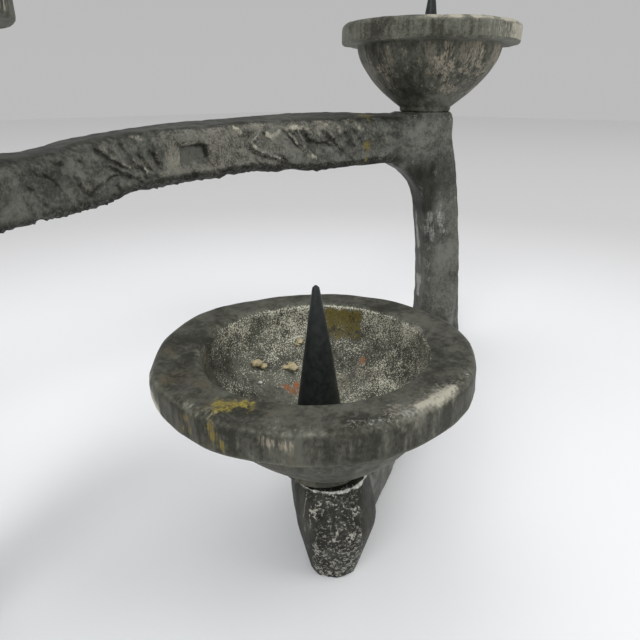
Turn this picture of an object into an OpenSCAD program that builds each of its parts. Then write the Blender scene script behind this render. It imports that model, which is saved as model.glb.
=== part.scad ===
// Cast-iron candlestick for three pillar candles.
// One casting carries a low cup at its front and two high cups on a bowed beam.
// Each cup is held by a steel spike, whose shank goes through the cup and a washer
// into a tapped hole in the casting. The casting stands on the low stub and two feet.
// Sizes are in millimetres and the table top is at height zero.

/* [Cups] */
// Outer diameter of the rim of each cup
cup_d = 75; // [66:0.5:90]
// Height of a cup from the underside of its foot to the top of its rim
cup_h = 33.5; // [32:0.5:42]
// Diameter of the open mouth inside the flat rim
mouth_d = 54; // [48:0.5:56]
// Depth of the bowl below the top of the rim
bowl_depth = 24; // [20:0.5:26]
// Height of the thick band round the rim
rim_h = 8; // [6:0.5:11]
// Thickness of the bowl's wall just under the rim
bowl_wall = 3.8; // [3:0.1:4.4]
// Diameter of the foot that sits on the washer
foot_d = 22.2; // [20:0.2:26]
// Height of the straight foot below the bowl
foot_h = 2.6; // [2:0.2:4]
// Width of the flat pad that shows all round a spike, at the bottom of the bowl
pad_margin = 1.2; // [0.4:0.1:2]
// Rounding of the rim's outer top edge
rim_round = 1.8; // [0.6:0.2:2.4]
// Rounding of the mouth's edge and of the rim's lower edge
edge_round = 0.9; // [0.4:0.1:1.4]

/* [Spikes] */
// Height of a spike above the bowl's pad
spike_h = 39; // [32:0.5:50]
// Diameter of a spike where it sits on the pad
spike_d = 12.8; // [10:0.2:14]
// Diameter of the blunt tip
tip_d = 1.6; // [1.2:0.1:3]
// Diameter of the shank below the pad
shank_d = 6; // [5:0.5:8]
// Length of the shank that goes into the casting
shank_grip = 12; // [9:0.5:14]
// Gap all round between the shank and the holes in the cup and the washer
shank_gap = 0.3; // [0.1:0.05:0.5]
// Gap all round between the shank and its tapped hole
thread_gap = 0.05; // [0.03:0.01:0.1]

/* [Washers] */
// Outer diameter of the washer under each cup
washer_d = 16; // [14:0.5:19]
// Thickness of the washer under each cup
washer_t = 1; // [0.8:0.1:2]

/* [Top beam] */
// Distance between the axes of the two high cups
seat_span = 213; // [180:1:260]
// How far the beam bows back from the line between the two high cups
beam_bow = 34; // [20:1:45]
// Width of the beam, front to back
beam_w = 21; // [19:0.5:24]
// Height of the beam's section
beam_h = 19.5; // [18:0.5:24]
// Angle at which the beam tips up towards its bow
beam_tip = 3.5; // [0:0.5:5]
// Height of the seat face under the right cup
high_seat_h = 112; // [90:1:140]
// How much lower the beam and the seat face are at the left cup
beam_fall = 6.5; // [0:0.5:8]
// Height of the round boss that stands on the beam under each high cup
boss_h = 1.5; // [1:0.5:4]
// How far the boss stays inside the edge of the cup's foot
boss_inset = 0.9; // [0:0.1:1.5]
// Rounding of the beam's long edges
beam_round = 3; // [1.5:0.5:4]

/* [Legs] */
// Width of a leg along the beam at its slimmest
leg_w = 18.2; // [15:0.1:21]
// Depth of a leg across the beam at its slimmest
leg_t = 18; // [15:0.5:20]
// Width of the head of a leg under its cup
head_w = 18.8; // [18:0.2:26]
// Width of the foot of a leg
leg_foot_w = 23; // [21.5:0.5:28]
// How far a leg's foot stands out beyond the axis of its cup
leg_splay = 13.2; // [4:0.2:18]
// Radius of the inside corner between a leg and the beam
elbow_r = 19; // [10:0.5:24]
// Height over which the foot of a leg spreads
foot_flare_h = 34; // [15:1:40]
// Rounding of the upright edges of a leg
leg_round = 4; // [2:0.5:6]

/* [Floor arm and low stub] */
// Distance of the low cup to the left of the middle of the two high cups
low_left = 34.1; // [20:0.1:60]
// Distance of the low cup in front of the line between the two high cups
low_front = 61.6; // [50:0.1:90]
// Height of the stub's top face, under the low cup
low_seat_h = 28.8; // [26:0.2:44]
// Angle at which the low cup leans
low_lean = 1.5; // [0:0.5:4]
// Heading towards which the low cup leans, from the right-hand side
low_lean_heading = 131; // [0:1:360]
// Diameter of the stub's round top
stub_d = 20.4; // [19:0.2:24]
// How far the arm and the stub's top are to the right of the low cup's axis, across the arm
stub_side = 2.2; // [0:0.1:3]
// Width of the stub where it is widest
waist_w = 22.8; // [20:0.2:25]
// Height above the table at which the stub is widest
waist_h = 15.9; // [12:0.1:20]
// Width of the stub's narrow toe where it stands on the table
toe_w = 13.6; // [9:0.2:17]
// How far the toe is in front of the low cup's axis, along the arm
toe_front = 2; // [1:0.2:6]
// How far the toe is to the right of the low cup's axis, across the arm
toe_side = 4.6; // [0:0.2:7]
// Width of the floor arm
arm_w = 16.2; // [12:0.2:18]
// Height of the floor arm's top face between its ends
arm_h = 18; // [15:0.5:22]
// Space between the floor arm's underside and the table
arm_lift = 0.8; // [0.4:0.1:3]
// Rounding of the floor arm's long edges
arm_round = 3.5; // [2:0.5:5]
// Radius of the inside corners at both ends of the floor arm
arm_corner_r = 9; // [5:0.5:10]

/* [Hidden] */

$fn = 96;
hull_fn = 32;
corner_steps = 4;
curve_steps = 14;
cut = 1;

iron_colour = [0.27, 0.28, 0.27];
rim_iron_colour = [0.33, 0.34, 0.32];
spike_colour = [0.10, 0.11, 0.12];
washer_colour = [0.20, 0.20, 0.20];

// Cups
cup_r = cup_d / 2;
mouth_r = mouth_d / 2;
foot_r = foot_d / 2;
pad_r = spike_d / 2 + pad_margin;
bowl_r = mouth_r + bowl_wall;
rim_under = cup_h - rim_h;
floor_t = cup_h - bowl_depth;
hole_r = shank_d / 2 + shank_gap;

// Spikes
tap_r = shank_d / 2 + thread_gap;
shank_len = floor_t + washer_t + shank_grip;
shank_chamfer = shank_d / 8;
tap_depth = shank_grip + shank_d / 2;

// Beam: its centre line is an arc through both high seats
half_span = seat_span / 2;
beam_r = (half_span * half_span + beam_bow * beam_bow) / (2 * beam_bow);
beam_half_angle = asin(half_span / beam_r);
beam_top = high_seat_h - boss_h;
fall_angle = asin(beam_fall / seat_span);
boss_r = foot_r - boss_inset;

// Legs: shares of a leg's height at which its outline is given, from the sole up
leg_height_shares = [0, 0.06, 0.12, 0.18, 0.26, 0.38, 0.5, 0.6, 0.66, 0.7, 0.73, 0.76, 0.785, 0.81,
    0.88, 0.94, 0.972, 0.99, 1];

// Floor arm: it runs from the low seat to the foot of the right leg
arm_start = [-low_left, -low_front];
arm_end = [half_span + leg_splay * cos(beam_half_angle), -leg_splay * sin(beam_half_angle)];
arm_run = norm(arm_end - arm_start);
arm_heading = atan2(arm_end[1] - arm_start[1], arm_end[0] - arm_start[0]);
arm_run_shares = [0.03, 0.07, 0.09, 0.11, 0.13, 0.3, 0.5, 0.7, 0.82, 0.86, 0.88, 0.9, 0.92, 0.94, 1];

// Stub
toe_h = toe_w / 16;
stub_lip = stub_d / 8;

// The inside corner between the arm and the stub ends below the stub's lip
stub_corner_r = min(arm_corner_r, low_seat_h - stub_lip / 2 - arm_h);

// The whole stands with the middle of its outline over the origin
mid_y = (max(beam_bow + beam_w / 2, cup_r) - low_front - cup_r) / 2;

// Points of an arc, counted in even steps
function arc_points(x, y, r, from, to, steps) =
    [for (i = [0:steps]) let (a = from + (to - from) * i / steps) [x + r * cos(a), y + r * sin(a)]];

// A closed rounded rectangle between two corners
function rounded_outline(x0, y0, x1, y1, r) = concat(
    arc_points(x1 - r, y0 + r, r, -90, 0, corner_steps),
    arc_points(x1 - r, y1 - r, r, 0, 90, corner_steps),
    arc_points(x0 + r, y1 - r, r, 90, 180, corner_steps),
    arc_points(x0 + r, y0 + r, r, 180, 270, corner_steps));

// How far a round corner has come in at a distance past its start
function corner_reach(past, r) =
    past <= 0 ? 0 : r - sqrt(max(0, r * r - min(past, r) * min(past, r)));

// Falls smoothly from one at zero to nothing at the given length
function fade(distance, length) = pow(max(0, 1 - distance / length), 2);

// A solid through rings that hold equally many points, closed flat at both ends
module skin(rings) {
    ring_size = len(rings[0]);
    last = len(rings) - 1;
    corners = [for (ring = rings) each ring];
    first_cap = [for (i = [0:ring_size - 1]) i];
    last_cap = [for (i = [ring_size - 1:-1:0]) last * ring_size + i];
    sides = [for (k = [0:last - 1], i = [0:ring_size - 1])
        let (j = (i + 1) % ring_size, a = k * ring_size, b = a + ring_size)
        each [[a + i, b + i, b + j], [a + i, b + j, a + j]]];
    polyhedron(corners, concat([first_cap], sides, [last_cap]));
}

// Places: each puts its children on a seat face, with the cup's axis along Z
module on_table() {
    translate([0, -mid_y, 0])
        children();
}

module at_low_seat() {
    translate([-low_left, -low_front, low_seat_h])
        rotate(a = low_lean, v = [-sin(low_lean_heading), cos(low_lean_heading), 0])
            children();
}

module at_right_seat() {
    translate([half_span, 0, high_seat_h])
        children();
}

module at_left_seat() {
    translate([-half_span, 0, high_seat_h - beam_fall])
        children();
}

module along_arm() {
    translate(arm_start)
        rotate([0, 0, arm_heading])
            children();
}

// One cup: a foot, a deep bowl and a broad flat rim, pierced for the shank
function bowl_outside() = [for (i = [0:curve_steps])
    let (t = i / curve_steps)
    [foot_r + (bowl_r - foot_r) * (1 - pow(1 - t, 1.8)), foot_h + (rim_under - foot_h) * t]];

function bowl_inside() = [for (i = [curve_steps - 1:-1:0])
    let (t = i / curve_steps)
    [pad_r + (mouth_r - pad_r) * (1 - pow(1 - t, 2.8)), floor_t + (bowl_depth - edge_round) * t]];

module cup() {
    rotate_extrude()
        polygon(concat(
            [[hole_r, 0], [foot_r, 0]],
            bowl_outside(),
            arc_points(cup_r - edge_round, rim_under + edge_round, edge_round, -90, 0, corner_steps),
            arc_points(cup_r - rim_round, cup_h - rim_round, rim_round, 0, 90, corner_steps),
            arc_points(mouth_r + edge_round, cup_h - edge_round, edge_round, 90, 180, corner_steps),
            bowl_inside(),
            [[hole_r, floor_t]]));
}

// One spike: a blunt steel thorn with a shank below it
function thorn_side() = [for (i = [0:curve_steps])
    let (t = i / curve_steps)
    [tip_d / 2 + (spike_d - tip_d) / 2 * pow(1 - t, 0.9), (spike_h - tip_d / 2) * t]];

module spike() {
    rotate_extrude()
        polygon(concat(
            [[0, -shank_len], [shank_d / 2 - shank_chamfer, -shank_len]],
            [[shank_d / 2, -shank_len + shank_chamfer], [shank_d / 2, 0]],
            thorn_side(),
            arc_points(0, spike_h - tip_d / 2, tip_d / 2, 0, 90, corner_steps)));
}

module washer() {
    difference() {
        cylinder(d = washer_d, h = washer_t);
        translate([0, 0, -cut])
            cylinder(r = hole_r, h = washer_t + 2 * cut);
    }
}

// One leg: the outline at a height, with +X pointing outwards along the beam
function leg_ring(height, leg_h) =
    let (
        below = leg_h - height,
        head = fade(below, 2 * beam_h),
        foot = fade(height, foot_flare_h),
        centre = leg_splay * (1 - pow(height / leg_h, 2.2)),
        inset = corner_reach(beam_round - below, beam_round),
        half = (leg_w + (leg_foot_w - leg_w) * foot + (head_w - leg_w) * head) / 2 - inset,
        side = (leg_t + (beam_w - leg_t) * (head + foot / 2)) / 2 - inset,
        web = corner_reach(elbow_r - abs(below - beam_h), elbow_r))
    [for (p = rounded_outline(centre - half - web, -side, centre + half, side, leg_round))
        [p[0], p[1], height]];

module leg(leg_h) {
    rotate([0, 0, -beam_half_angle])
        skin([for (share = leg_height_shares) leg_ring(share * leg_h, leg_h)]);
}

module beam() {
    translate([half_span, 0, beam_top])
        rotate([0, -fall_angle, 0])
            rotate([beam_tip, 0, 0])
                translate([-half_span, beam_bow - beam_r, -beam_h / 2])
                    rotate([0, 0, 90 - beam_half_angle])
                        rotate_extrude(angle = 2 * beam_half_angle)
                            translate([beam_r, 0])
                                polygon(rounded_outline(-beam_w / 2, -beam_h / 2,
                                    beam_w / 2, beam_h / 2, beam_round));
}

module boss() {
    translate([0, 0, -2 * boss_h])
        cylinder(r = boss_r, h = 2 * boss_h);
}

module arch() {
    beam();
    translate([half_span, 0, 0])
        leg(beam_top);
    translate([-half_span, 0, 0])
        mirror([1, 0, 0])
            leg(beam_top - beam_fall);
    at_right_seat()
        boss();
    at_left_seat()
        boss();
}

// The floor arm: its section at a distance from the low seat's axis
function arm_ring(along) =
    let (
        at_stub = corner_reach(stub_d / 2 + stub_corner_r - max(along, stub_d / 2), stub_corner_r),
        at_leg = corner_reach(along - arm_run + leg_foot_w / 2 + arm_corner_r, arm_corner_r),
        top = arm_h + at_stub + at_leg)
    [for (p = rounded_outline(-arm_w / 2, arm_lift, arm_w / 2, top, arm_round)) [along, p[0], p[1]]];

module arm() {
    along_arm()
        translate([0, -stub_side, 0])
            skin([for (share = arm_run_shares) arm_ring(share * arm_run)]);
}

// The stub: widest part of the way up and drawn in to a narrow toe on the table
module stub() {
    hull() {
        at_low_seat()
            rotate([0, 0, arm_heading])
                translate([0, -stub_side, -stub_lip])
                    cylinder(d = stub_d, h = stub_lip, $fn = hull_fn);
        along_arm()
            translate([-toe_front / 2, -toe_side, waist_h - toe_h / 2])
                cylinder(d = waist_w, h = toe_h, $fn = hull_fn);
        along_arm()
            translate([-toe_front, -toe_side, 0])
                cylinder(d = toe_w, h = toe_h, $fn = hull_fn);
    }
}

module tapped_hole() {
    translate([0, 0, -tap_depth])
        cylinder(r = tap_r, h = tap_depth + cut);
}

module frame_casting() {
    color(iron_colour)
        on_table()
            difference() {
                union() {
                    arch();
                    arm();
                    stub();
                }
                at_low_seat()
                    tapped_hole();
                at_right_seat()
                    tapped_hole();
                at_left_seat()
                    tapped_hole();
            }
}

module low_cup() {
    color(rim_iron_colour)
        on_table()
            at_low_seat()
                translate([0, 0, washer_t])
                    cup();
}

module right_cup() {
    color(rim_iron_colour)
        on_table()
            at_right_seat()
                translate([0, 0, washer_t])
                    cup();
}

module left_cup() {
    color(rim_iron_colour)
        on_table()
            at_left_seat()
                translate([0, 0, washer_t])
                    cup();
}

module low_spike() {
    color(spike_colour)
        on_table()
            at_low_seat()
                translate([0, 0, washer_t + floor_t])
                    spike();
}

module right_spike() {
    color(spike_colour)
        on_table()
            at_right_seat()
                translate([0, 0, washer_t + floor_t])
                    spike();
}

module left_spike() {
    color(spike_colour)
        on_table()
            at_left_seat()
                translate([0, 0, washer_t + floor_t])
                    spike();
}

module low_washer() {
    color(washer_colour)
        on_table()
            at_low_seat()
                washer();
}

module right_washer() {
    color(washer_colour)
        on_table()
            at_right_seat()
                washer();
}

module left_washer() {
    color(washer_colour)
        on_table()
            at_left_seat()
                washer();
}

frame_casting();
low_cup();
right_cup();
left_cup();
low_spike();
right_spike();
left_spike();
low_washer();
right_washer();
left_washer();
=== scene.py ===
# %% [markdown]
# # A cast-iron candlestick on its packed frame
# The real object is one rough casting with three turned cups, each held down by a spike. The
# packed solids hold its sizes, so they come in first and stay where they are. Each later step
# dresses one kind of piece: the casting, the cups, the spikes, the washers and a little old wax.
# Everything is in metres, in the frame of the packed solids. A size that reads more easily in
# millimetres is multiplied by MM.

# %% Load the frame
import math
from types import SimpleNamespace

import bmesh
import bpy
import numpy as np
from mathutils import Matrix, Vector


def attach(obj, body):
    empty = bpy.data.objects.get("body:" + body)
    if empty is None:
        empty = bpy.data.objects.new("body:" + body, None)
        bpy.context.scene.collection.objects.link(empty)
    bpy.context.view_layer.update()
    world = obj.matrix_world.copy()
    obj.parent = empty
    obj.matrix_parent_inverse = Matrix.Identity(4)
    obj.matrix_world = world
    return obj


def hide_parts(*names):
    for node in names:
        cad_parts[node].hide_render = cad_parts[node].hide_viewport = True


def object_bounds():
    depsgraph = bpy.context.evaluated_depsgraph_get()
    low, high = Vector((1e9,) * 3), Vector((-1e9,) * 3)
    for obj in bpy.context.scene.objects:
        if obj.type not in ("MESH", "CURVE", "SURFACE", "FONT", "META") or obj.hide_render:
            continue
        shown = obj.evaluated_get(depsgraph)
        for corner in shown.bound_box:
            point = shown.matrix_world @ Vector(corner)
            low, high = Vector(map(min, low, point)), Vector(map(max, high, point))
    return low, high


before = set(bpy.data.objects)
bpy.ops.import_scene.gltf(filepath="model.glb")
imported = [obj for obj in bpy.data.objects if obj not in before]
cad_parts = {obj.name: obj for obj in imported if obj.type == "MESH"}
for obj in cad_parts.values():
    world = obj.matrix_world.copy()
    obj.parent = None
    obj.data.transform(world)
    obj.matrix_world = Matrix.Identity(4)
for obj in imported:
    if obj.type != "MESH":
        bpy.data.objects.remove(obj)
first_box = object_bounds()
box_low, box_high = np.array(first_box[0]), np.array(first_box[1])
MM = 0.001
print("solids:", ", ".join(sorted(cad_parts)))
print("box in mm:", np.round((box_high - box_low) / MM, 1))

# %% [markdown]
# ## Noise and small mesh tools
# A sand casting is never quite even, and years of use add scratches and dirt. A texture modifier
# could roughen it, but it knows nothing of the places where a real casting is rough. So noise is
# worked out here as numbers, one for each point of a mesh: random values stand at the corners of
# a grid, and the noise glides from one to the next. The tables are seeded, so each run gives the
# same casting.

# %% Value noise
NOISE_GRID = 32
TABLE_STEP = 31
ABOVE_ZERO = 500


def step_between(low, high, x):
    """Rises smoothly from 0 at low to 1 at high."""
    t = np.clip((x - low) / (high - low), 0, 1)
    return t * t * (3 - 2 * t)


def noise_at(points, size, seed, octaves=3, gain=0.5):
    """Value noise from about -1 to 1; size is the width of its widest lumps, in metres."""
    total = np.zeros(len(points))
    for octave in range(octaves):
        tables = np.random.default_rng(seed + TABLE_STEP * octave)
        table = tables.uniform(-1, 1, (NOISE_GRID, NOISE_GRID, NOISE_GRID))
        place = points * (2**octave / size) + ABOVE_ZERO
        cell = np.floor(place).astype(int)
        part = place - cell
        part = part * part * (3 - 2 * part)
        value = np.zeros(len(points))
        for corner in range(8):
            step = np.array([corner & 1, corner >> 1 & 1, corner >> 2])
            share = np.prod(np.where(step, part, 1 - part), axis=1)
            at = (cell + step) % NOISE_GRID
            value += share * table[at[:, 0], at[:, 1], at[:, 2]]
        total += gain**octave * value
    return total


sample = np.random.default_rng(1).uniform(0, 1, (1000, 3))
print("spread of the noise at 1000 points:", np.round(noise_at(sample, 0.1, 5).std(), 2))


# %% Points and normals as arrays
def points_of(mesh):
    co = np.empty(len(mesh.vertices) * 3, np.float32)
    mesh.vertices.foreach_get("co", co)
    return co.reshape(-1, 3).astype(float)


def normals_of(mesh):
    n = np.empty(len(mesh.vertices) * 3, np.float32)
    mesh.vertex_normals.foreach_get("vector", n)
    return n.reshape(-1, 3).astype(float)


def set_points(mesh, co):
    mesh.vertices.foreach_set("co", co.astype(np.float32).ravel())
    mesh.update()


def smooth_all(mesh):
    mesh.polygons.foreach_set("use_smooth", [True] * len(mesh.polygons))


print("points in a packed washer:", len(points_of(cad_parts["low_washer"].data)))


# %% Ridges and hollows
def neighbour_mean(ends, values):
    """The mean of each vertex's neighbours, for one value per vertex."""
    count = len(values)
    total = np.bincount(ends[:, 0], values[ends[:, 1]], count)
    total += np.bincount(ends[:, 1], values[ends[:, 0]], count)
    return total / np.maximum(np.bincount(ends.ravel(), minlength=count), 1)


def ridge_of(mesh, rounds=3):
    """How far each vertex stands out of its surroundings, in mm: above 0 on ridges."""
    ends = np.empty(len(mesh.edges) * 2, np.int32)
    mesh.edges.foreach_get("vertices", ends)
    ends, co = ends.reshape(-1, 2), points_of(mesh)
    mean = co.copy()
    for _ in range(rounds):
        mean = np.stack([neighbour_mean(ends, mean[:, k]) for k in range(3)], axis=1)
    return ((co - mean) * normals_of(mesh)).sum(1) / MM


print("ridges of a packed washer up to", np.round(ridge_of(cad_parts["low_washer"].data).max(), 2), "mm")

# %% [markdown]
# ## Marks of use
# On the real candlestick hands have rubbed the edges bright, candles have left wax and dust, and a
# few spots rust. Some marks are painted light instead: a painted highlight and a painted sheen on
# the low rim's edge, and painted shade in the right leg's bend. These marks could be painted in an
# image, but here each one is a soft ball or a soft stroke round a point of the surface. It fades
# out with a ragged edge, and its strength is kept on the vertices, so that it follows the shape and
# needs no image.

# %% Round marks: a point in mm, a radius in mm and a strength
MARKS = {
    "worn": [
        (-56.5, -61.5, 63.5, 2.0, 0.6), (-54.5, -63.0, 63.5, 2.4, 0.7), (-52.5, -64.5, 63.5, 2.6, 0.7),
        (-50.0, -65.0, 63.5, 2.2, 0.6), (-64.5, -50.0, 63.0, 1.4, 0.6), (-26.0, -68.5, 64.0, 2.2, 0.4),
        (94.5, 24.0, 91.0, 1.8, 1.0), (103.5, 18.5, 86.5, 2.4, 0.4)
    ],
    # The first four are dark spots in the low bowl, the next three darken the right cup's lower bowl on its
    # left, and the last is painted shade in the right leg's bend.
    "grime": [
        (-26.5, -10.5, 51.5, 8.0, 0.6), (-33.5, -7.5, 55.0, 6.5, 0.5), (-44.0, -9.5, 53.5, 6.0, 0.6),
        (-22.0, -10.0, 60.0, 5.5, 0.4), (89.0, 23.0, 120.5, 9.5, 0.95), (82.5, 23.0, 126.5, 8.0, 0.6),
        (78.0, 25.0, 131.5, 7.0, 0.4), (101.0, 25.0, 80.0, 8.0, 0.6)
    ],
    "wax": [
        (-67.5, -37.0, 63.0, 3.0, 1.0), (-66.5, -39.0, 63.0, 3.2, 1.0), (-65.0, -41.0, 63.0, 3.0, 1.0)
    ],
    "olive": [
        (-71.5, -39.5, 61.0, 1.6, 0.8), (-71.5, -40.5, 59.0, 2.0, 0.9), (-71.0, -42.0, 57.5, 2.0, 0.9),
        (-72.0, -32.5, 60.0, 1.4, 0.7), (-72.0, -33.0, 58.0, 1.4, 0.7), (78.5, 39.0, 111.0, 7.2, 1.0),
        (74.5, 34.5, 99.0, 3.8, 0.8), (86.5, 12.5, 127.0, 2.4, 0.5), (81.0, 15.0, 131.5, 2.4, 0.5)
    ],
    "brown": [
        (-66.5, -21.0, 62.5, 6.0, 0.7), (-64.5, -27.5, 62.5, 5.0, 0.6), (-60.5, -8.5, 62.5, 5.0, 0.5)
    ],
    "rust": [
        (-11.5, -30.0, 50.0, 1.6, 1.0), (-29.5, -18.0, 44.0, 2.0, 1.0), (-29.0, -19.5, 43.5, 2.2, 1.0),
        (-27.0, -19.0, 44.0, 2.2, 1.0)
    ],
    "pink": [
        (-18.5, -29.5, 44.0, 6.0, 0.5), (-14.0, -33.0, 47.0, 6.0, 0.4), (85.5, 5.5, 136.5, 4.0, 0.8),
        (85.5, 8.5, 131.5, 3.4, 0.8), (89.5, 6.0, 129.5, 4.2, 0.8), (94.5, 4.0, 128.5, 4.2, 0.7),
        (91.0, 9.5, 125.5, 3.0, 0.6), (95.0, 1.0, 131.5, 4.4, 0.5), (97.0, -1.5, 136.0, 4.2, 0.4),
        (81.0, 34.0, 128.5, 3.6, 0.6), (77.5, 20.0, 134.5, 3.4, 0.4), (76.5, 22.0, 137.0, 3.4, 0.4)
    ],
}
print("round marks:", sum(len(marks) for marks in MARKS.values()))

# %% Long marks: half width in mm, a strength, then both ends in mm
SMEARS = {
    "frosted": [
        (1.4, 0.6, (107.0, 28.0, 66.0), (108.0, 28.5, 59.0)),
        (1.8, 1.0, (108.0, 28.0, 59.0), (109.0, 27.5, 51.0)),
        (0.9, 0.5, (107.5, 25.0, 45.5), (108.0, 25.0, 41.0)),
        (1.0, 0.45, (105.0, 21.0, 45.0), (105.0, 19.5, 40.5)),
        (1.9, 1.0, (109.5, 26.5, 33.5), (110.0, 26.5, 25.0)),
        (1.9, 0.62, (103.5, 18.5, 67.0), (105.0, 17.5, 55.0)),
        (1.3, 0.42, (103.5, 21.0, 61.0), (104.0, 20.5, 57.0)),
        (1.9, 0.66, (107.0, 15.5, 67.5), (108.0, 15.0, 62.0)),
        (1.7, 0.66, (108.5, 15.0, 59.0), (110.5, 13.5, 58.5)),
        (1.2, 0.35, (108.0, 15.0, 53.0), (108.5, 15.0, 49.5)),
        (1.4, 0.3, (107.5, 15.5, 71.5), (108.0, 15.0, 69.0)),
        (1.3, 0.35, (102.5, 18.5, 87.5), (104.0, 17.5, 86.0)),
        # The last one is a painted sheen on the low rim's front edge.
        (1.1, 0.38, (-57.0, -61.5, 63.5), (-52.5, -65.0, 63.5))
    ],
    "rubbed": [
        (2.2, 1.0, (-68.5, -16.0, 60.5), (-70.0, -19.0, 55.5)),
        # These three are the bright right front edge of the low rim, partly rubbed metal and partly a painted
        # highlight.
        (2.4, 0.45, (-49.0, -66.5, 63.5), (-31.0, -69.0, 64.0)),
        (1.0, 0.9, (-44.0, -67.5, 64.0), (-38.5, -69.0, 64.0)),
        (1.6, 0.88, (-39.0, -69.0, 64.0), (-33.0, -69.0, 64.0))
    ],
    "pink": [
        (1.4, 0.6, (-68.5, -50.0, 60.5), (-66.0, -54.0, 60.0))
    ],
}
print("long marks:", sum(len(smears) for smears in SMEARS.values()))

# %% How strong each kind of mark is at each point
# Besides real stains, the frosted colour also paints a sheen on the low rim's front edge, and the brass
# colour a highlight on the high cups' bands.
STAIN_AND_SHEEN_COLOURS = {
    "wax": (0.29, 0.235, 0.045),
    "olive": (0.190, 0.150, 0.032),
    "brown": (0.105, 0.084, 0.050),
    "rust": (0.36, 0.130, 0.045),
    "dun": (0.185, 0.165, 0.128),
    "pink": (0.30, 0.265, 0.205),
    "brass": (0.46, 0.435, 0.35),
    "frosted": (0.30, 0.305, 0.28),
    "lip": (0.66, 0.66, 0.62),
}
RAGGED_DEPTH, RAGGED_SIZE = 0.6, 0.0030


def mark_amount(co, kind):
    """The strongest mark of one kind at each point, from 0 to 1, with a ragged edge."""
    amount = np.zeros(len(co))
    ragged = 1 + RAGGED_DEPTH * noise_at(co * np.array([1, 1, 0.55]), RAGGED_SIZE, 91, 3)
    for x, y, z, radius, strength in MARKS.get(kind, ()):
        d = np.linalg.norm(co - np.array([x, y, z]) * MM, axis=1) / (radius * MM)
        amount = np.maximum(amount, strength * (1 - step_between(0.1, 1.15, d * ragged)))
    for width, strength, one_end, other_end in SMEARS.get(kind, ()):
        start, along = np.array(one_end) * MM, (np.array(other_end) - np.array(one_end)) * MM
        t = np.clip(((co - start) @ along) / (along @ along), 0, 1)
        d = np.linalg.norm(co - start - t[:, None] * along, axis=1) / (width * MM)
        amount = np.maximum(amount, strength * (1 - step_between(0.4, 1.7, d * ragged)))
    return amount


print("stain colours:", ", ".join(STAIN_AND_SHEEN_COLOURS))


# %% Keep the marks on a mesh
WEAR_KINDS = ("worn", "rubbed", "sand", "grime", "streak")
FAINTEST_STAIN = 0.02


def store(mesh, name, values):
    """Keeps one number per vertex under a name that the materials read."""
    layer = mesh.attributes.get(name) or mesh.attributes.new(name, "FLOAT", "POINT")
    layer.data.foreach_set("value", np.clip(values, 0, 1).astype(np.float32))


def store_marks(mesh, co, areas):
    """Stores wear, sand, grime with painted shade, and the stain colour with painted sheen and highlights;
    areas holds the amounts of whole areas.
    """
    for kind in WEAR_KINDS:
        store(mesh, kind, np.maximum(mark_amount(co, kind), areas.get(kind, 0)))
    stain = np.zeros((len(co), 4))
    for kind, colour in STAIN_AND_SHEEN_COLOURS.items():
        amount = np.maximum(mark_amount(co, kind), areas.get(kind, 0))[:, None]
        stain[:, :3] = stain[:, :3] * (1 - amount) + np.array(colour) * amount
        stain[:, 3:] = np.maximum(stain[:, 3:], amount)
    stain[:, :3] /= np.maximum(stain[:, 3:], FAINTEST_STAIN)
    layer = mesh.color_attributes.new("stain", "FLOAT_COLOR", "POINT")
    layer.data.foreach_set("color", stain.clip(0, 1).astype(np.float32).ravel())
    store(mesh, "stained", stain[:, 3])


print("kept on each vertex:", ", ".join(WEAR_KINDS), "and the stain")

# %% [markdown]
# ## Cast iron
# Old cast iron is a dark, slightly oily grey with lighter clouds, never one colour. Frame and cups
# share that look and differ in tone, so it is one node group with a few inputs. The group first
# mixes bare iron from noise and darkens it with grime and painted shade. It then lays worn flecks,
# rubbed metal and painted highlights, sand, and stains with painted sheen over it, each led by a
# vertex value from above. The shader itself stays in each material.

# %% Short words for shader nodes
class Nodes:
    """Adds shader nodes to one tree; a value is a number, a colour or another node's output."""

    def __init__(self, tree):
        self.tree = tree

    def feed(self, socket, value):
        if isinstance(value, bpy.types.NodeSocket):
            self.tree.links.new(value, socket)
        else:
            socket.default_value = value

    def add(self, kind, inputs=(), **settings):
        node = self.tree.nodes.new(kind)
        for name, value in settings.items():
            setattr(node, name, value)
        for name, value in dict(inputs).items():
            self.feed(node.inputs[name], value)
        return node

    def maths(self, operation, a, b=0.0, clamp=False):
        return self.add("ShaderNodeMath", {0: a, 1: b}, operation=operation, use_clamp=clamp).outputs[0]

    def plus(self, a, b, clamp=False):
        return self.maths("ADD", a, b, clamp)

    def minus(self, a, b):
        return self.maths("SUBTRACT", a, b)

    def times(self, a, b, clamp=False):
        return self.maths("MULTIPLY", a, b, clamp)

    def larger(self, a, b):
        return self.maths("MAXIMUM", a, b)

    def swing(self, value, size):
        """How far a noise is from its middle, times size."""
        return self.times(self.minus(value, 0.5), size)

    def ramp(self, value, low, high, to_low=0.0, to_high=1.0):
        """Maps low..high to to_low..to_high, smoothly and with no overshoot."""
        steps = {0: value, 1: low, 2: high, 3: to_low, 4: to_high}
        return self.add("ShaderNodeMapRange", steps, interpolation_type="SMOOTHSTEP").outputs[0]

    def noise(self, place, scale, detail=3.0, roughness=0.55, distortion=0.0):
        inputs = {"Vector": place, "Scale": scale, "Detail": detail, "Roughness": roughness,
                  "Distortion": distortion}
        return self.add("ShaderNodeTexNoise", inputs).outputs[0]

    def mixed(self, amount, a, b):
        """Mixes two colours."""
        return self.add("ShaderNodeMix", {0: amount, 6: a, 7: b}, data_type="RGBA").outputs[2]

    def blended(self, amount, a, b):
        """Mixes two numbers."""
        return self.add("ShaderNodeMix", {0: amount, 2: a, 3: b}, data_type="FLOAT").outputs[0]


print("node words:", ", ".join(word for word in vars(Nodes) if not word.startswith("_")))

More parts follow.
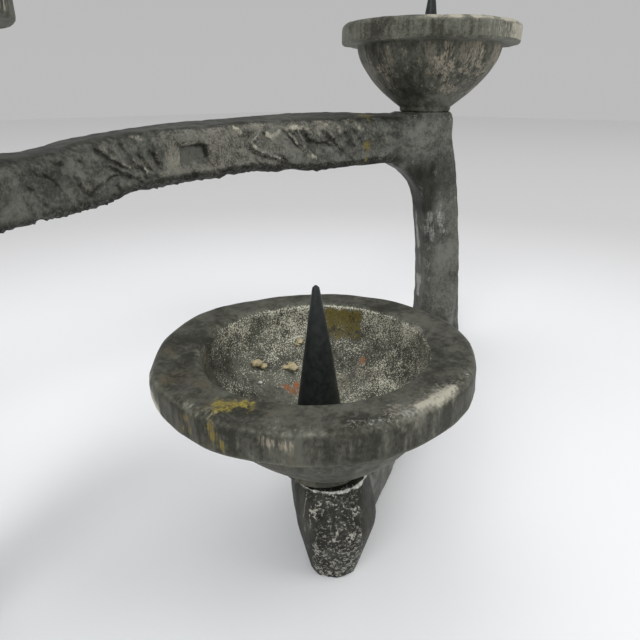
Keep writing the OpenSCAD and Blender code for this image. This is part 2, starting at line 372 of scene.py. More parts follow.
# %% The group and its sockets
GROUP_INPUTS = (
    ("Dark", "NodeSocketColor", (0.053, 0.054, 0.045, 1)),
    ("Light", "NodeSocketColor", (0.176, 0.182, 0.156, 1)),
    ("Bright", "NodeSocketColor", (0.46, 0.45, 0.39, 1)),
    ("Flecks", "NodeSocketFloat", 0.12),
    ("Fleck scale", "NodeSocketFloat", 520.0),
)
GROUP_OUTPUTS = {"Color": "NodeSocketColor", "Roughness": "NodeSocketFloat",
                 "Metallic": "NodeSocketFloat", "Height": "NodeSocketFloat"}
iron_group = bpy.data.node_groups.new("cast_iron", "ShaderNodeTree")
for title, kind, value in GROUP_INPUTS:
    socket = iron_group.interface.new_socket(title, in_out="INPUT", socket_type=kind)
    socket.default_value = value
for title, kind in GROUP_OUTPUTS.items():
    iron_group.interface.new_socket(title, in_out="OUTPUT", socket_type=kind)
iron = Nodes(iron_group)
given = iron.add("NodeGroupInput").outputs
amount = {kind: iron.add("ShaderNodeAttribute", attribute_name=kind).outputs["Fac"]
          for kind in (*WEAR_KINDS, "stained")}
print("the group reads:", ", ".join(amount))

# %% Its noises
STREAK_STRETCH = (1.0, 1.0, 0.22)
here = iron.add("ShaderNodeTexCoord").outputs["Object"]
drawn_out = iron.add("ShaderNodeVectorMath", {0: here, 1: STREAK_STRETCH}, operation="MULTIPLY").outputs[0]


def streaked(scale, detail, roughness, distortion=0.0, drawn_scale=None):
    """A noise that is drawn out along Z where a piece is streaked."""
    still = iron.noise(here, scale, detail, roughness, distortion)
    drawn = iron.noise(drawn_out, drawn_scale or scale, detail, roughness, distortion * 0.3)
    return iron.blended(amount["streak"], still, drawn)


cloud = iron.noise(here, 60.0, 5.0, 0.62)
grit = iron.noise(here, 1100.0, 3.0, 0.65)
grains = iron.noise(here, 2600.0, 3.0, 0.75)
patchy = streaked(260.0, 4.0, 0.65, 0.0, 390.0)
fine = streaked(1500.0, 2.0, 0.6)
lines = streaked(given["Fleck scale"], 3.0, 0.6, 0.6)
islands = streaked(190.0, 3.0, 0.6)
small = streaked(1250.0, 2.0, 0.6, 0.5)
print("noises:", sum(node.bl_idname == "ShaderNodeTexNoise" for node in iron_group.nodes))

# %% Bare iron, darkened by grime and by painted shade
GRIME_AND_SHADE_COLOUR = (0.012, 0.0115, 0.0085, 1)
tone = iron.plus(iron.times(cloud, 0.40), iron.times(grit, 0.28))
tone = iron.plus(tone, iron.times(patchy, 0.32))
bare = iron.mixed(iron.ramp(tone, 0.40, 0.60), given["Dark"], given["Light"])
# The grime amount also holds painted shade, so this mix paints that shade into the colour.
dirt_and_shade = iron.times(amount["grime"], iron.ramp(patchy, 0.3, 0.7, 1.0, 0.75))
bare = iron.mixed(dirt_and_shade, bare, GRIME_AND_SHADE_COLOUR)
print("nodes up to the bare iron:", len(iron_group.nodes))

# %% Worn flecks: veins and dots in islands, and a thin film where the wear is strong
vein = iron.minus(1.0, iron.maths("ABSOLUTE", iron.minus(iron.times(lines, 2.0), 1.0)))
want = iron.plus(amount["worn"], iron.times(iron.ramp(cloud, 0.52, 0.68), given["Flecks"]), clamp=True)
vein_from = iron.minus(1.0, iron.times(want, 0.10))
vein_from = iron.minus(vein_from, iron.times(iron.ramp(islands, 0.50, 0.68), 0.13))
vein = iron.ramp(iron.minus(vein, vein_from), 0.0, 0.09)
vein = iron.times(vein, iron.ramp(small, 0.42, 0.55))
dot_from = iron.minus(0.76, iron.times(amount["worn"], 0.20))
dot_from = iron.minus(dot_from, iron.times(iron.ramp(islands, 0.42, 0.62), 0.05))
dot = iron.ramp(iron.minus(small, dot_from), 0.0, 0.07)
fleck = iron.larger(vein, iron.times(dot, iron.ramp(amount["worn"], 0.1, 0.4, 0.0, 0.85)))
fleck = iron.times(fleck, iron.ramp(want, 0.03, 0.5, 0.0, 0.9), clamp=True)
film_of_wear = iron.times(iron.ramp(amount["worn"], 0.75, 1.0, 0.0, 0.6),
                          iron.ramp(iron.plus(grit, patchy), 0.88, 1.2, 0.0, 0.7))
worn_through = iron.larger(fleck, film_of_wear)
print("nodes up to the worn flecks:", len(iron_group.nodes))

# %% Rubbed metal and painted highlights: two tans, broken up by fine noise
FAINT_TAN, STRONG_TAN = (0.265, 0.250, 0.205, 1), (0.46, 0.44, 0.355, 1)
rub = iron.plus(iron.swing(fine, 1.5), iron.swing(patchy, 0.7))
rub = iron.plus(rub, amount["rubbed"])
rub = iron.times(iron.ramp(rub, 0.15, 0.95, 0.0, 0.95), iron.ramp(amount["rubbed"], 0.0, 0.15))
tan = iron.mixed(iron.ramp(amount["rubbed"], 0.50, 0.90), FAINT_TAN, STRONG_TAN)
print("nodes up to the rubbed metal:", len(iron_group.nodes))

# %% Sand: pale specks on slightly lighter ground
SAND_GROUND, SAND_SPECK = (0.115, 0.121, 0.100, 1), (0.76, 0.74, 0.60, 1)
speck_from = iron.minus(0.68, iron.times(amount["sand"], 0.24))
speck_from = iron.minus(speck_from, iron.swing(patchy, 0.30))
speck = iron.ramp(iron.minus(grains, speck_from), 0.0, 0.09)
speck = iron.times(speck, iron.ramp(amount["sand"], 0.0, 0.3), clamp=True)
ground = iron.mixed(iron.ramp(amount["sand"], 0.2, 1.0, 0.0, 0.4), bare, SAND_GROUND)
print("nodes up to the sand:", len(iron_group.nodes))

# %% Stains, with the painted sheen and highlights kept among them: each in its own colour, with darker pores
STAIN_PORES = (0.03, 0.03, 0.024, 1)
stain = iron.add("ShaderNodeAttribute", attribute_name="stain").outputs["Color"]
patch = iron.plus(iron.swing(patchy, 1.2), iron.swing(fine, 1.6))
patch = iron.plus(patch, amount["stained"])
patch = iron.times(iron.ramp(patch, 0.25, 0.95), iron.ramp(amount["stained"], 0.03, 0.35))
patch = iron.times(patch, iron.ramp(grit, 0.32, 0.6, 0.65, 1.0))
uneven = iron.mixed(iron.ramp(fine, 0.35, 0.62, 0.35, 0.0), stain, STAIN_PORES)
print("nodes up to the stains:", len(iron_group.nodes))

# %% What the group puts out
colour = iron.mixed(rub, ground, tan)
colour = iron.mixed(worn_through, colour, given["Bright"])
colour = iron.mixed(iron.times(speck, 0.92), colour, SAND_SPECK)
colour = iron.mixed(patch, colour, uneven)
rough = iron.minus(iron.ramp(grit, 0.3, 0.7, 0.50, 0.66), iron.times(worn_through, 0.14))
metal = iron.times(iron.plus(0.25, iron.times(worn_through, 0.35)), iron.minus(1.0, iron.times(patch, 0.9)))
height = iron.plus(iron.times(grit, 0.55), iron.times(patchy, 0.7))
height = iron.plus(height, iron.times(fleck, 0.25))
height = iron.plus(height, iron.times(iron.times(grains, amount["sand"]), 0.5))
iron.add("NodeGroupOutput", {"Color": colour, "Roughness": rough, "Metallic": metal, "Height": height})
print("cast iron group:", len(iron_group.nodes), "nodes")

# %% [markdown]
# ## Materials
# The frame is the rougher casting, and the cups were turned and handled, so they are warmer and
# finer. Spikes and washers are blackened steel, smooth enough for one noise each. Old wax has its
# own two tones. Iron that is oily and dull reflects little, which a low specular level gives.

# %% Materials from the group
IRON_SPECULAR = 0.22


def new_material(name):
    material = bpy.data.materials.new(name)
    material.use_nodes = True
    return material, Nodes(material.node_tree), material.node_tree.nodes["Principled BSDF"]


def iron_material(name, bump, bump_size, **inputs):
    material, nodes, shader = new_material(name)
    group = nodes.add("ShaderNodeGroup", node_tree=iron_group)
    for key, value in inputs.items():
        group.inputs[key.replace("_", " ")].default_value = value
    lift = nodes.add("ShaderNodeBump", {"Strength": bump, "Distance": bump_size,
                                        "Height": group.outputs["Height"]})
    fed = {"Base Color": group.outputs["Color"], "Roughness": group.outputs["Roughness"],
           "Metallic": group.outputs["Metallic"], "Specular IOR Level": IRON_SPECULAR,
           "Normal": lift.outputs[0]}
    for socket, value in fed.items():
        nodes.feed(shader.inputs[socket], value)
    return material


frame_iron = iron_material("frame_iron", 0.5, 0.0006, Fleck_scale=430.0, Flecks=0.10)
cup_iron = iron_material("cup_iron", 0.45, 0.0005, Fleck_scale=520.0, Flecks=0.16,
                         Dark=(0.046, 0.046, 0.034, 1), Light=(0.166, 0.169, 0.136, 1))
print("iron materials:", frame_iron.name, "and", cup_iron.name)


# %% Plain materials
def plain_material(name, colour, roughness, metallic=0.0, bump=0.0, scale=500.0):
    material, nodes, shader = new_material(name)
    place = nodes.add("ShaderNodeTexCoord").outputs["Object"]
    grain = nodes.noise(place, scale, 3.0, 0.6)
    darker, lighter = (*[c * 0.75 for c in colour], 1), (*[c * 1.2 for c in colour], 1)
    lift = nodes.add("ShaderNodeBump", {"Strength": bump, "Distance": 0.0003, "Height": grain})
    fed = {"Base Color": nodes.mixed(nodes.ramp(grain, 0.35, 0.65), darker, lighter),
           "Roughness": nodes.ramp(grain, 0.3, 0.7, roughness - 0.06, roughness + 0.06),
           "Metallic": metallic, "Normal": lift.outputs[0]}
    for socket, value in fed.items():
        nodes.feed(shader.inputs[socket], value)
    return material


spike_steel = plain_material("spike_steel", (0.027, 0.032, 0.031), 0.40, 0.4, 0.3, 700.0)
washer_steel = plain_material("washer_steel", (0.02, 0.02, 0.018), 0.6, 0.5, 0.2)
old_wax = plain_material("old_wax", (0.50, 0.42, 0.25), 0.55, 0.0, 0.5, 900.0)
white_wax = plain_material("white_wax", (0.80, 0.80, 0.77), 0.5)
print("plain materials:", ", ".join(m.name for m in (spike_steel, washer_steel, old_wax, white_wax)))

# %% [markdown]
# ## The frame casting: an even skin
# The beam, both legs, the floor arm and the stub came out of one sand mould. The packed solid has
# their sizes, but its faces are large and smooth. Its surface could be carved by hand. Here a
# voxel remesh lays an even skin of small faces over a copy of it, so that the skin can be pushed
# in and out by numbers. The beam's front and the stub's top show the finest relief, and only
# their faces are split further.

# %% Places on the packed casting
# A seat is the middle of a washer's face; the beam is part of a ring round (0, BEAM_Y); all in mm
SEAT_POINTS = {"low": (-34.1, -34.3, 28.8), "right": (106.5, 27.3, 112.0), "left": (-106.5, 27.3, 105.5)}
BEAM_R, BEAM_Y, BEAM_W = 183.8, -122.5, 21.0
SKIN_STEP = 0.00098
print("seats in mm:", SEAT_POINTS)


# %% A skin of even faces, and finer faces where they are wanted
def even_skin(node, name, size):
    """A closed skin of even faces over a packed node, as a new object."""
    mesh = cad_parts[node].data.copy()
    work = bmesh.new()
    work.from_mesh(mesh)
    bmesh.ops.remove_doubles(work, verts=work.verts, dist=0.000002)
    work.to_mesh(mesh)
    work.free()
    skin = bpy.data.objects.new(name, mesh)
    bpy.context.scene.collection.objects.link(skin)
    remesh = skin.modifiers.new("skin", "REMESH")
    remesh.mode, remesh.voxel_size, remesh.use_smooth_shade = "VOXEL", size, True
    bpy.context.view_layer.update()
    made = bpy.data.meshes.new_from_object(skin.evaluated_get(bpy.context.evaluated_depsgraph_get()))
    skin.modifiers.clear()
    skin.data = made
    made.name = name
    made.materials.clear()
    return skin


def split_faces(mesh, chosen, cuts):
    """Splits the faces whose middle passes the test chosen(x, y, z in mm)."""
    work = bmesh.new()
    work.from_mesh(mesh)
    faces = [f for f in work.faces if chosen(*(f.calc_center_median() / MM))]
    edges = list({e for f in faces for e in f.edges})
    bmesh.ops.subdivide_edges(work, edges=edges, cuts=cuts, use_grid_fill=True)
    work.to_mesh(mesh)
    work.free()
    smooth_all(mesh)
    mesh.update()


def shows_fine_relief(x, y, z):
    front_face = -66 < x < 78 and math.hypot(x, y - BEAM_Y) < BEAM_R - BEAM_W / 2 + 1.6 and z > 84
    stub_top = 25.5 < z < 30 and math.hypot(x + 33.4, y + 36.4) < 11.5
    return front_face or stub_top


casting = even_skin("frame_casting", "frame_casting_skin", SKIN_STEP)
print("skin faces:", len(casting.data.polygons))
split_faces(casting.data, shows_fine_relief, 2)
print("with the beam's front and the stub's top split:", len(casting.data.polygons))

# %% Where each point of the casting lies
BEAM_MID_Z, BEAM_FALL, BEAM_RISE = 100.75, 0.0305, 0.061
co, out = points_of(casting.data), normals_of(casting.data)
mm = co / MM
seat_x, seat_y, _ = SEAT_POINTS["right"]
polar_y = mm[:, 1] - BEAM_Y
ring_r = np.hypot(mm[:, 0], polar_y)
inward = -np.stack([mm[:, 0], polar_y], axis=1) / ring_r[:, None]
above = mm[:, 2] - (BEAM_MID_Z - BEAM_FALL * (seat_x - mm[:, 0]) + BEAM_RISE * (mm[:, 1] - seat_y))
on_beam = (step_between(-13, -9, above) * step_between(12, 8, np.abs(ring_r - BEAM_R) - 2)
           * step_between(99, 84, np.abs(mm[:, 0])))
facing = (out[:, :2] * inward).sum(1)
front = on_beam * step_between(0.35, 0.8, facing)
print("points on the beam:", int((on_beam > 0.5).sum()), "and on its front:", int((front > 0.5).sum()))

# %% Seats and the spikes' holes keep their place
still = np.ones(len(co))
for x, y, z in SEAT_POINTS.values():
    flat = np.hypot(mm[:, 0] - x, mm[:, 1] - y)
    near_seat = step_between(12.5, 9.0, flat) * step_between(1.6, 0.5, np.abs(mm[:, 2] - z))
    in_hole = step_between(4.6, 3.6, flat) * (mm[:, 2] > z - 18)
    still *= (1 - near_seat) * (1 - in_hole)
print("points kept still:", int((still < 0.5).sum()))

# %% [markdown]
# ## The frame casting: grain and folds
# The beam's front was rammed by hand in the mould. It shows grain, folds where the sand slid, a
# crumbly lower edge and one shallow worn recess. Sculpting brushes would do it by eye. Here the
# folds are traced as short lines on the front, and each line lifts the skin on one side and drops
# it on the other, which repeats exactly and can be changed line by line. Every push is along the
# skin's own normal, in mm.

# %% One shallow recess
wavy = 0.55 * noise_at(co, 0.0045, 31, 3)
leaning = 0.25 * np.maximum(mm[:, 2] - 99, 0)
recess = (step_between(-9.6, -8.2, mm[:, 0] + wavy) * step_between(4.0, 3.2, mm[:, 0] + wavy + leaning)
          * step_between(102.9, 102.2, mm[:, 2] + wavy) * step_between(94.0, 98.0, mm[:, 2] + wavy))
print("points in the recess:", int((front * recess > 0.5).sum()))

# %% Cast grain, rougher on the beam's front and finer elsewhere
push = 0.16 * noise_at(co, 0.013, 3, 3) + 0.07 * noise_at(co, 0.003, 4, 2)
chipped = noise_at(co + 0.5 * co[:, [2, 1, 0]], 0.0055, 7, 3)
chips = 0.24 * chipped + 0.14 * np.tanh(chipped * 6) + 0.12 * noise_at(co, 0.0022, 8, 2)
push += front * (1 - 0.35 * recess) * chips
elsewhere = (1 - front) * step_between(-60, -20, mm[:, 1])
lumps = 0.22 * np.tanh(2.2 * noise_at(co, 0.009, 9, 2)) + 0.07 * noise_at(co, 0.0026, 10, 2)
push += elsewhere * lumps
low_front = on_beam * step_between(66, 30, mm[:, 0]) * step_between(-0.2, 0.5, facing)
push -= 0.10 * low_front * np.clip(-5.5 - above, 0, 4.5) ** 1.5
print("grain from", np.round(push.min(), 2), "to", np.round(push.max(), 2), "mm")


# %% How far a point is from a traced line
def distance_to(points, line):
    """Distance of points to a line of points in the same plane, above 0 on its left side."""
    best = np.full(len(points), 1e9)
    signed = np.zeros(len(points))
    for a, b in zip(line[:-1], line[1:]):
        a, b = np.array(a), np.array(b)
        along = b - a
        t = np.clip(((points - a) @ along) / (along @ along), 0, 1)
        off = points - (a + t[:, None] * along)
        d = np.hypot(off[:, 0], off[:, 1])
        side = along[0] * off[:, 1] - along[1] * off[:, 0]
        nearer = d < best
        best = np.where(nearer, d, best)
        signed = np.where(nearer, side / math.hypot(*along), signed)
    return best, signed


face_points = mm[:, [0, 2]]
wobble = 0.40 * np.stack([noise_at(co, 0.0028, 21, 2), noise_at(co, 0.0028, 22, 2)], axis=1)
print("lines wander by up to", np.round(np.abs(wobble).max(), 2), "mm")

# %% Folds on the beam's front: the step's height, then its line as (x, z) in mm
BEAM_FOLDS = [
    (0.45, [(-42.5, 104.5), (-41.0, 103.5), (-39.0, 102.0), (-37.0, 100.5), (-35.0, 99.0), (-32.5, 98.0),
     (-29.5, 97.5)]),
    (0.7, [(-36.5, 98.0), (-34.5, 97.0), (-32.0, 95.5), (-30.0, 94.5)]),
    (0.6, [(-43.5, 94.0), (-41.0, 95.0), (-38.5, 96.0), (-36.0, 96.0)]),
    (0.5, [(-49.5, 96.0), (-47.5, 93.5), (-45.5, 92.5), (-43.0, 93.5)]),
    (0.5, [(-33.5, 105.5), (-32.5, 104.5), (-32.0, 103.0)]),
    (0.6, [(-29.0, 106.0), (-27.5, 104.5), (-26.5, 103.0)]),
    (0.5, [(-29.5, 100.0), (-28.5, 98.5), (-28.0, 97.5)]),
    (0.5, [(-26.0, 100.5), (-24.5, 99.5), (-23.0, 97.5)]),
    (0.4, [(-25.0, 97.0), (-24.0, 96.0), (-23.5, 95.5)]),
    (0.7, [(-20.5, 101.0), (-19.5, 100.0), (-19.0, 98.0)]),
    (0.5, [(19.5, 107.0), (21.0, 105.5), (21.5, 104.0)]),
    (1.1, [(25.0, 107.0), (24.0, 105.0), (21.5, 103.5), (21.0, 102.0), (22.5, 99.5), (26.0, 98.0),
     (30.0, 96.5), (33.0, 95.5)]),
    (0.5, [(27.5, 105.0), (29.5, 103.5), (31.5, 101.5)]),
    (0.7, [(36.5, 106.0), (39.0, 104.0), (41.0, 102.0), (43.0, 100.0)]),
    (0.6, [(42.0, 106.0), (43.5, 104.0), (44.5, 102.0)]),
    (0.5, [(44.5, 100.0), (46.0, 98.5), (48.0, 97.0)]),
    (0.8, [(46.0, 105.5), (47.5, 103.5), (49.0, 101.5), (52.0, 100.5), (54.5, 101.0)]),
    (0.8, [(55.0, 105.0), (57.5, 103.0), (59.5, 101.0), (62.0, 98.5)]),
    (0.6, [(64.0, 107.5), (64.0, 105.0), (65.0, 102.0)]),
]
print("folds:", len(BEAM_FOLDS))

# %% Lift one side of each fold and drop the other
LIFT_REACH, DROP_REACH, STEP_WIDTH = 3.6, 1.9, 0.3
FOLD_SHARE, RECESS_DEPTH = 0.85, 1.7
below_band = step_between(8.8, 6.8, above)
drop = np.zeros(len(co))
for fold_height, line in BEAM_FOLDS:
    away, side = distance_to(face_points + wobble, line)
    lift = np.where(side > 0, np.exp(-away / LIFT_REACH), -0.7 * np.exp(-away / DROP_REACH))
    push += front * below_band * fold_height * FOLD_SHARE * lift * np.tanh(np.abs(side) / STEP_WIDTH)
    # On the dropped side of each fold's step, a strip is kept for painted shadow.
    under_step = step_between(1.2, 0.1, np.abs(side + 0.5)) * step_between(2.0, 0.6, away)
    drop = np.maximum(drop, front * under_step * fold_height)
push -= front * recess * RECESS_DEPTH
print("with folds and recess from", np.round(push.min(), 2), "to", np.round(push.max(), 2), "mm")

# %% Crests painted bright on the same face, partly rubbed metal and partly painted highlight on the lit sides of folds: half width, strength, line as (x, z) in mm
BRIGHT_CRESTS = [
    (0.4, 0.55, [(-41.0, 104.5), (-39.5, 103.5), (-38.0, 102.5), (-36.5, 101.0), (-34.5, 100.0),
     (-32.0, 98.5), (-28.0, 97.5)]),
    (0.4, 0.8, [(-39.5, 104.0), (-38.5, 103.0)]),
    (0.4, 0.8, [(-31.0, 98.0), (-28.0, 97.5)]),
    (0.5, 0.9, [(-32.5, 105.0), (-31.5, 104.0)]),
    (0.9, 0.8, [(-28.5, 107.5), (-26.5, 107.0), (-25.5, 106.0)]),
    (0.5, 0.8, [(-24.5, 109.0), (-23.5, 108.5)]),
    (0.4, 0.8, [(-29.0, 100.0), (-28.0, 97.5)]),
    (0.3, 0.5, [(-26.0, 100.5), (-23.0, 97.5)]),
    (0.5, 0.9, [(-24.5, 97.0), (-23.5, 95.5)]),
    (0.4, 0.6, [(-20.0, 101.5), (-18.5, 98.0)]),
    (0.5, 0.9, [(-40.5, 95.0), (-39.0, 95.5)]),
    (0.7, 0.5, [(-49.0, 96.0), (-46.0, 94.5)]),
    (0.8, 0.95, [(25.0, 106.5), (23.5, 105.0), (22.0, 103.5), (21.5, 101.5), (23.5, 100.0)]),
    (0.6, 0.85, [(23.5, 100.0), (27.0, 98.0), (31.0, 96.5), (35.0, 96.0)]),
    (0.9, 0.9, [(28.5, 105.0), (31.0, 104.0), (34.5, 105.5)]),
    (0.8, 0.9, [(34.5, 105.5), (37.5, 106.5), (41.0, 107.0), (44.5, 107.0)]),
    (1.8, 0.7, [(45.5, 107.0), (56.0, 106.5)]),
    (1.6, 0.5, [(46.5, 104.5), (55.0, 103.5)]),
    (0.5, 0.7, [(38.0, 105.5), (40.0, 104.0), (43.0, 101.0)]),
    (0.5, 0.6, [(43.0, 105.5), (45.0, 102.5), (46.5, 99.5)]),
    (0.7, 0.75, [(45.0, 99.0), (48.5, 96.5), (51.5, 95.5)]),
    (0.9, 0.55, [(56.5, 105.0), (59.0, 102.5), (62.0, 100.0)]),
    (1.1, 0.8, [(61.0, 107.0), (62.5, 105.0)]),
    (0.9, 0.6, [(64.5, 108.5), (66.5, 108.5), (69.0, 107.0), (73.0, 105.0)]),
    (1.1, 0.6, [(30.0, 109.5), (34.0, 108.5)]),
    (0.7, 0.5, [(36.0, 109.5), (40.0, 109.5)]),
    (0.8, 0.8, [(15.0, 108.0), (17.0, 106.0)]),
    (0.9, 0.5, [(19.0, 108.0), (22.5, 108.5)]),
]
print("bright crests:", len(BRIGHT_CRESTS))

# %% Painted shadows on the same face, on the shaded sides of folds and along the recess's top and right walls
SHADOWED_HOLLOWS = [
    (0.4, 0.75, [(-42.5, 104.5), (-42.0, 103.5), (-39.5, 102.0), (-37.5, 100.0), (-35.5, 99.0)]),
    (0.5, 0.75, [(-37.5, 98.5), (-36.0, 97.5), (-34.0, 96.5), (-32.0, 95.0), (-30.0, 94.0)]),
    (0.5, 0.8, [(-49.5, 96.5), (-48.5, 94.0), (-45.5, 92.5), (-43.5, 93.5), (-41.0, 94.0)]),
    (0.6, 1.0, [(-20.5, 101.0), (-19.0, 98.0)]),
    # This one is the painted shadow of the recess's top and right walls.
    (0.7, 1.0, [(-9.0, 103.0), (-5.5, 103.0), (1.0, 102.5), (2.5, 101.0), (3.0, 98.5)]),
    (0.5, 0.7, [(-28.5, 106.5), (-27.5, 105.0)]),
    (0.7, 0.5, [(-23.0, 107.5), (-22.0, 105.5)]),
    (0.4, 0.7, [(-33.5, 105.0), (-32.5, 103.5)]),
    (0.4, 0.6, [(-30.0, 99.0), (-29.0, 97.5)]),
    (1.0, 0.7, [(19.5, 106.5), (20.0, 104.0), (20.0, 101.0)]),
    (0.6, 0.95, [(20.5, 100.5), (23.5, 98.5), (27.5, 96.5), (31.0, 95.5)]),
    (1.2, 0.45, [(25.5, 103.5), (27.5, 101.0), (30.5, 100.0)]),
    (0.9, 1.0, [(38.0, 105.5), (41.0, 104.5)]),
    (0.6, 0.8, [(41.5, 104.0), (43.5, 101.5)]),
    (0.9, 1.0, [(44.5, 105.5), (47.0, 103.5)]),
    (0.8, 0.95, [(47.5, 102.0), (51.5, 101.0)]),
    (0.6, 0.9, [(54.0, 104.5), (57.5, 102.0), (62.0, 99.0)]),
    (1.3, 0.5, [(65.0, 106.5), (66.0, 102.0)]),
    (0.5, 0.7, [(45.5, 98.5), (48.0, 97.0)]),
]
print("dark hollows:", len(SHADOWED_HOLLOWS))


# %% Draw the crests and hollows
def drawn(strokes):
    """The strongest of some strokes at each point of the beam's front."""
    strongest = np.zeros(len(co))
    for width, strength, line in strokes:
        away, _ = distance_to(face_points + 0.6 * wobble, line)
        strongest = np.maximum(strongest, front * strength * step_between(1.9 * width, 0.5 * width, away))
    return strongest


bright, dark = drawn(BRIGHT_CRESTS), drawn(SHADOWED_HOLLOWS)
push -= 0.18 * dark
print("points on crests:", int((bright > 0.4).sum()), "and in hollows:", int((dark > 0.4).sum()))

# %% [markdown]
# ## The frame casting: its own warp
# No edge of the beam is a true arc. The lower edge wanders, the top's back edge rises to the
# right, and the heads of the legs fill out to their seats. A lattice could bend it, but two short
# tables of heights along the beam are easier to check against the real edges.

# %% The beam's edges, as heights over x
LOW_EDGE_X = [-75, -62, -52, -46, -42, -38, -34, -29, -25, -20, -15, -10, -5, 0,
              5, 10, 15, 20, 26, 31, 37, 42, 47, 53, 58, 64, 72, 82]
LOW_EDGE_MOVE = [0, -0.6, -1.2, -1.2, -1.3, -0.75, -0.3, 0.7, 0.55, 1.0, 0.8, 1.0, 0.8, 0.5,
                 0.5, 0.45, 1.2, 1.1, 0.9, 0.0, -0.45, -0.3, -0.85, -1.25, -1.1, -1.1, -0.6, 0]
BACK_EDGE_X = [-95, -75, -50, -34, -30, -25, -20, -16, -10, 0, 5, 10, 15, 26, 32, 37, 43, 49, 54,
               60, 71, 76, 82, 92]
BACK_EDGE_MOVE = [0, -1.2, -2.0, -1.8, -1.5, -1.3, -1.2, -0.95, -0.7, -0.7, -0.5, -0.4, -0.15,
                  -0.1, 0, 0.25, 0.4, 0.6, 0.8, 0.9, 0.9, 0.6, 0.5, 0]
warp = np.interp(mm[:, 0], LOW_EDGE_X, LOW_EDGE_MOVE) * step_between(0, -8, above)
warp -= 1.7 * step_between(-36, -62, mm[:, 0]) * step_between(-2, 8, above)
back_edge = step_between(174, 190, ring_r) * step_between(0, 8, above)
warp += np.interp(mm[:, 0], BACK_EDGE_X, BACK_EDGE_MOVE) * back_edge
crumbly = step_between(-6.5, -9.0, above) * step_between(180, 176, ring_r) * step_between(74, 50, mm[:, 0])
warp += crumbly * (0.18 * noise_at(co, 0.0036, 11, 2) + 0.85 * noise_at(co, 0.0013, 12, 1))
co[:, 2] += on_beam * warp * still * MM
print("edges warped from", np.round(warp.min(), 2), "to", np.round(warp.max(), 2), "mm")

# %% Fill out the heads of both legs
for leg_seat in ("right", "left"):
    x, y, z = SEAT_POINTS[leg_seat]
    off = mm[:, :2] - np.array([x, y])
    flat = np.maximum(np.hypot(off[:, 0], off[:, 1]), 1)
    ring = step_between(8.6, 9.8, flat) * step_between(16, 13.5, flat)
    outer_side = step_between(0.2, -0.5, -off[:, 0] * np.sign(x) / flat)
    head = step_between(z - 6.0, z - 1.5, mm[:, 2]) * ring
    co[:, 2] += head * np.clip(z - 0.15 - mm[:, 2], 0, 3) * 0.9 * MM
    shoulder = step_between(z - 9, z - 3, mm[:, 2]) * ring * outer_side
    co[:, :2] += (shoulder * MM)[:, None] * off / flat[:, None]
co += out * (push * still * MM)[:, None]
print("casting pushed from", np.round(push.min(), 2), "to", np.round(push.max(), 2), "mm")

# %% [markdown]
# ## The stub
# The stub under the low cup was dressed with a file: one broad flat in front and one at each
# side. A boolean with three planes would leave sharp cuts, so each flat only pulls back what
# stands proud of it, and it fades out below the seat.

# %% The stub's own axis and width at each height
STUB_HEIGHTS, STUB_HALF_WIDTHS = [0, 15.9, 28.8], [6.8, 11.4, 10.2]
STUB_BACK, STUB_SIDE = [-2.0, -1.0, 0.0], [4.6, 4.6, 2.2]
STUB_FRONT_TURN, STUB_HEADING = 221.0, math.radians(19.6)
TO_THE_VIEWER = np.array([-0.75, -0.66, 0.0])
along = np.array([math.cos(STUB_HEADING), math.sin(STUB_HEADING)])
across = np.array([-math.sin(STUB_HEADING), math.cos(STUB_HEADING)])
z_mm = mm[:, 2]
axis = (np.array(SEAT_POINTS["low"][:2]) + np.interp(z_mm, STUB_HEIGHTS, STUB_BACK)[:, None] * along
        - np.interp(z_mm, STUB_HEIGHTS, STUB_SIDE)[:, None] * across)
half_width = np.interp(z_mm, STUB_HEIGHTS, STUB_HALF_WIDTHS)
from_axis = np.hypot(mm[:, 0] - axis[:, 0], mm[:, 1] - axis[:, 1])
near_stub = (from_axis < 13.5) & (z_mm < 29.5)
print("points on the stub:", int(near_stub.sum()))

# %% Its flats: a turn from the front in degrees, and the share of the width where it begins
STUB_FLATS = ((-75.0, 0.96), (66.0, 0.95), (-6.0, 0.93))
stub_front = near_stub * step_between(-0.5, 0.1, out @ TO_THE_VIEWER)
co -= out * (stub_front * 0.65 * np.exp(-(((z_mm - STUB_HEIGHTS[1]) / 3.0) ** 2)) * MM)[:, None]
for turn, share in STUB_FLATS:
    angle = math.radians(STUB_FRONT_TURN + turn)
    facing_way = np.array([math.cos(angle), math.sin(angle)])
    reach = (co[:, :2] / MM - axis) @ facing_way
    over = np.maximum(reach - share * half_width, 0) * near_stub * step_between(28.8, 25.5, z_mm)
    co[:, :2] -= (over * MM * 0.8)[:, None] * facing_way
co = np.clip(co, box_low, box_high)
set_points(casting.data, co)
print("casting now in mm:", np.round((co.max(0) - co.min(0)) / MM, 1))

# %% [markdown]
# ## Wear and painted shade on the casting
# Edges that stand out get rubbed, and hollows are darkened. Pointiness would say where, but it
# works on the render's mesh alone and isn't exported. So the height of each point over its
# neighbours is measured here. On top come the places that this casting shows: crests, partly
# rubbed and partly painted highlight, a flaked stub with a bright filed lip and its front darkened,
# streaks down the leg, and painted shade along the beam's lower edge and on the leg.

# %% Worn and rubbed places of the beam, with painted highlights on its crests
stand_out = ridge_of(casting.data)
out = normals_of(casting.data)
worn = step_between(0.05, 0.22, stand_out) * 0.30 * (1 - on_beam * 0.6)
blotches = noise_at(co, 0.009, 45, 3)
band = (front * step_between(-20, -14, mm[:, 0] + 2 * blotches) * step_between(70, 20, mm[:, 0])
        * step_between(-6.6, -5.2, above))
upper = (front * step_between(-28, -16, mm[:, 0]) * step_between(80, 50, mm[:, 0])
         * step_between(2.5, 6.0, above))
rubbed = np.maximum(band * (0.50 + 0.18 * blotches), upper * (0.42 + 0.2 * blotches))
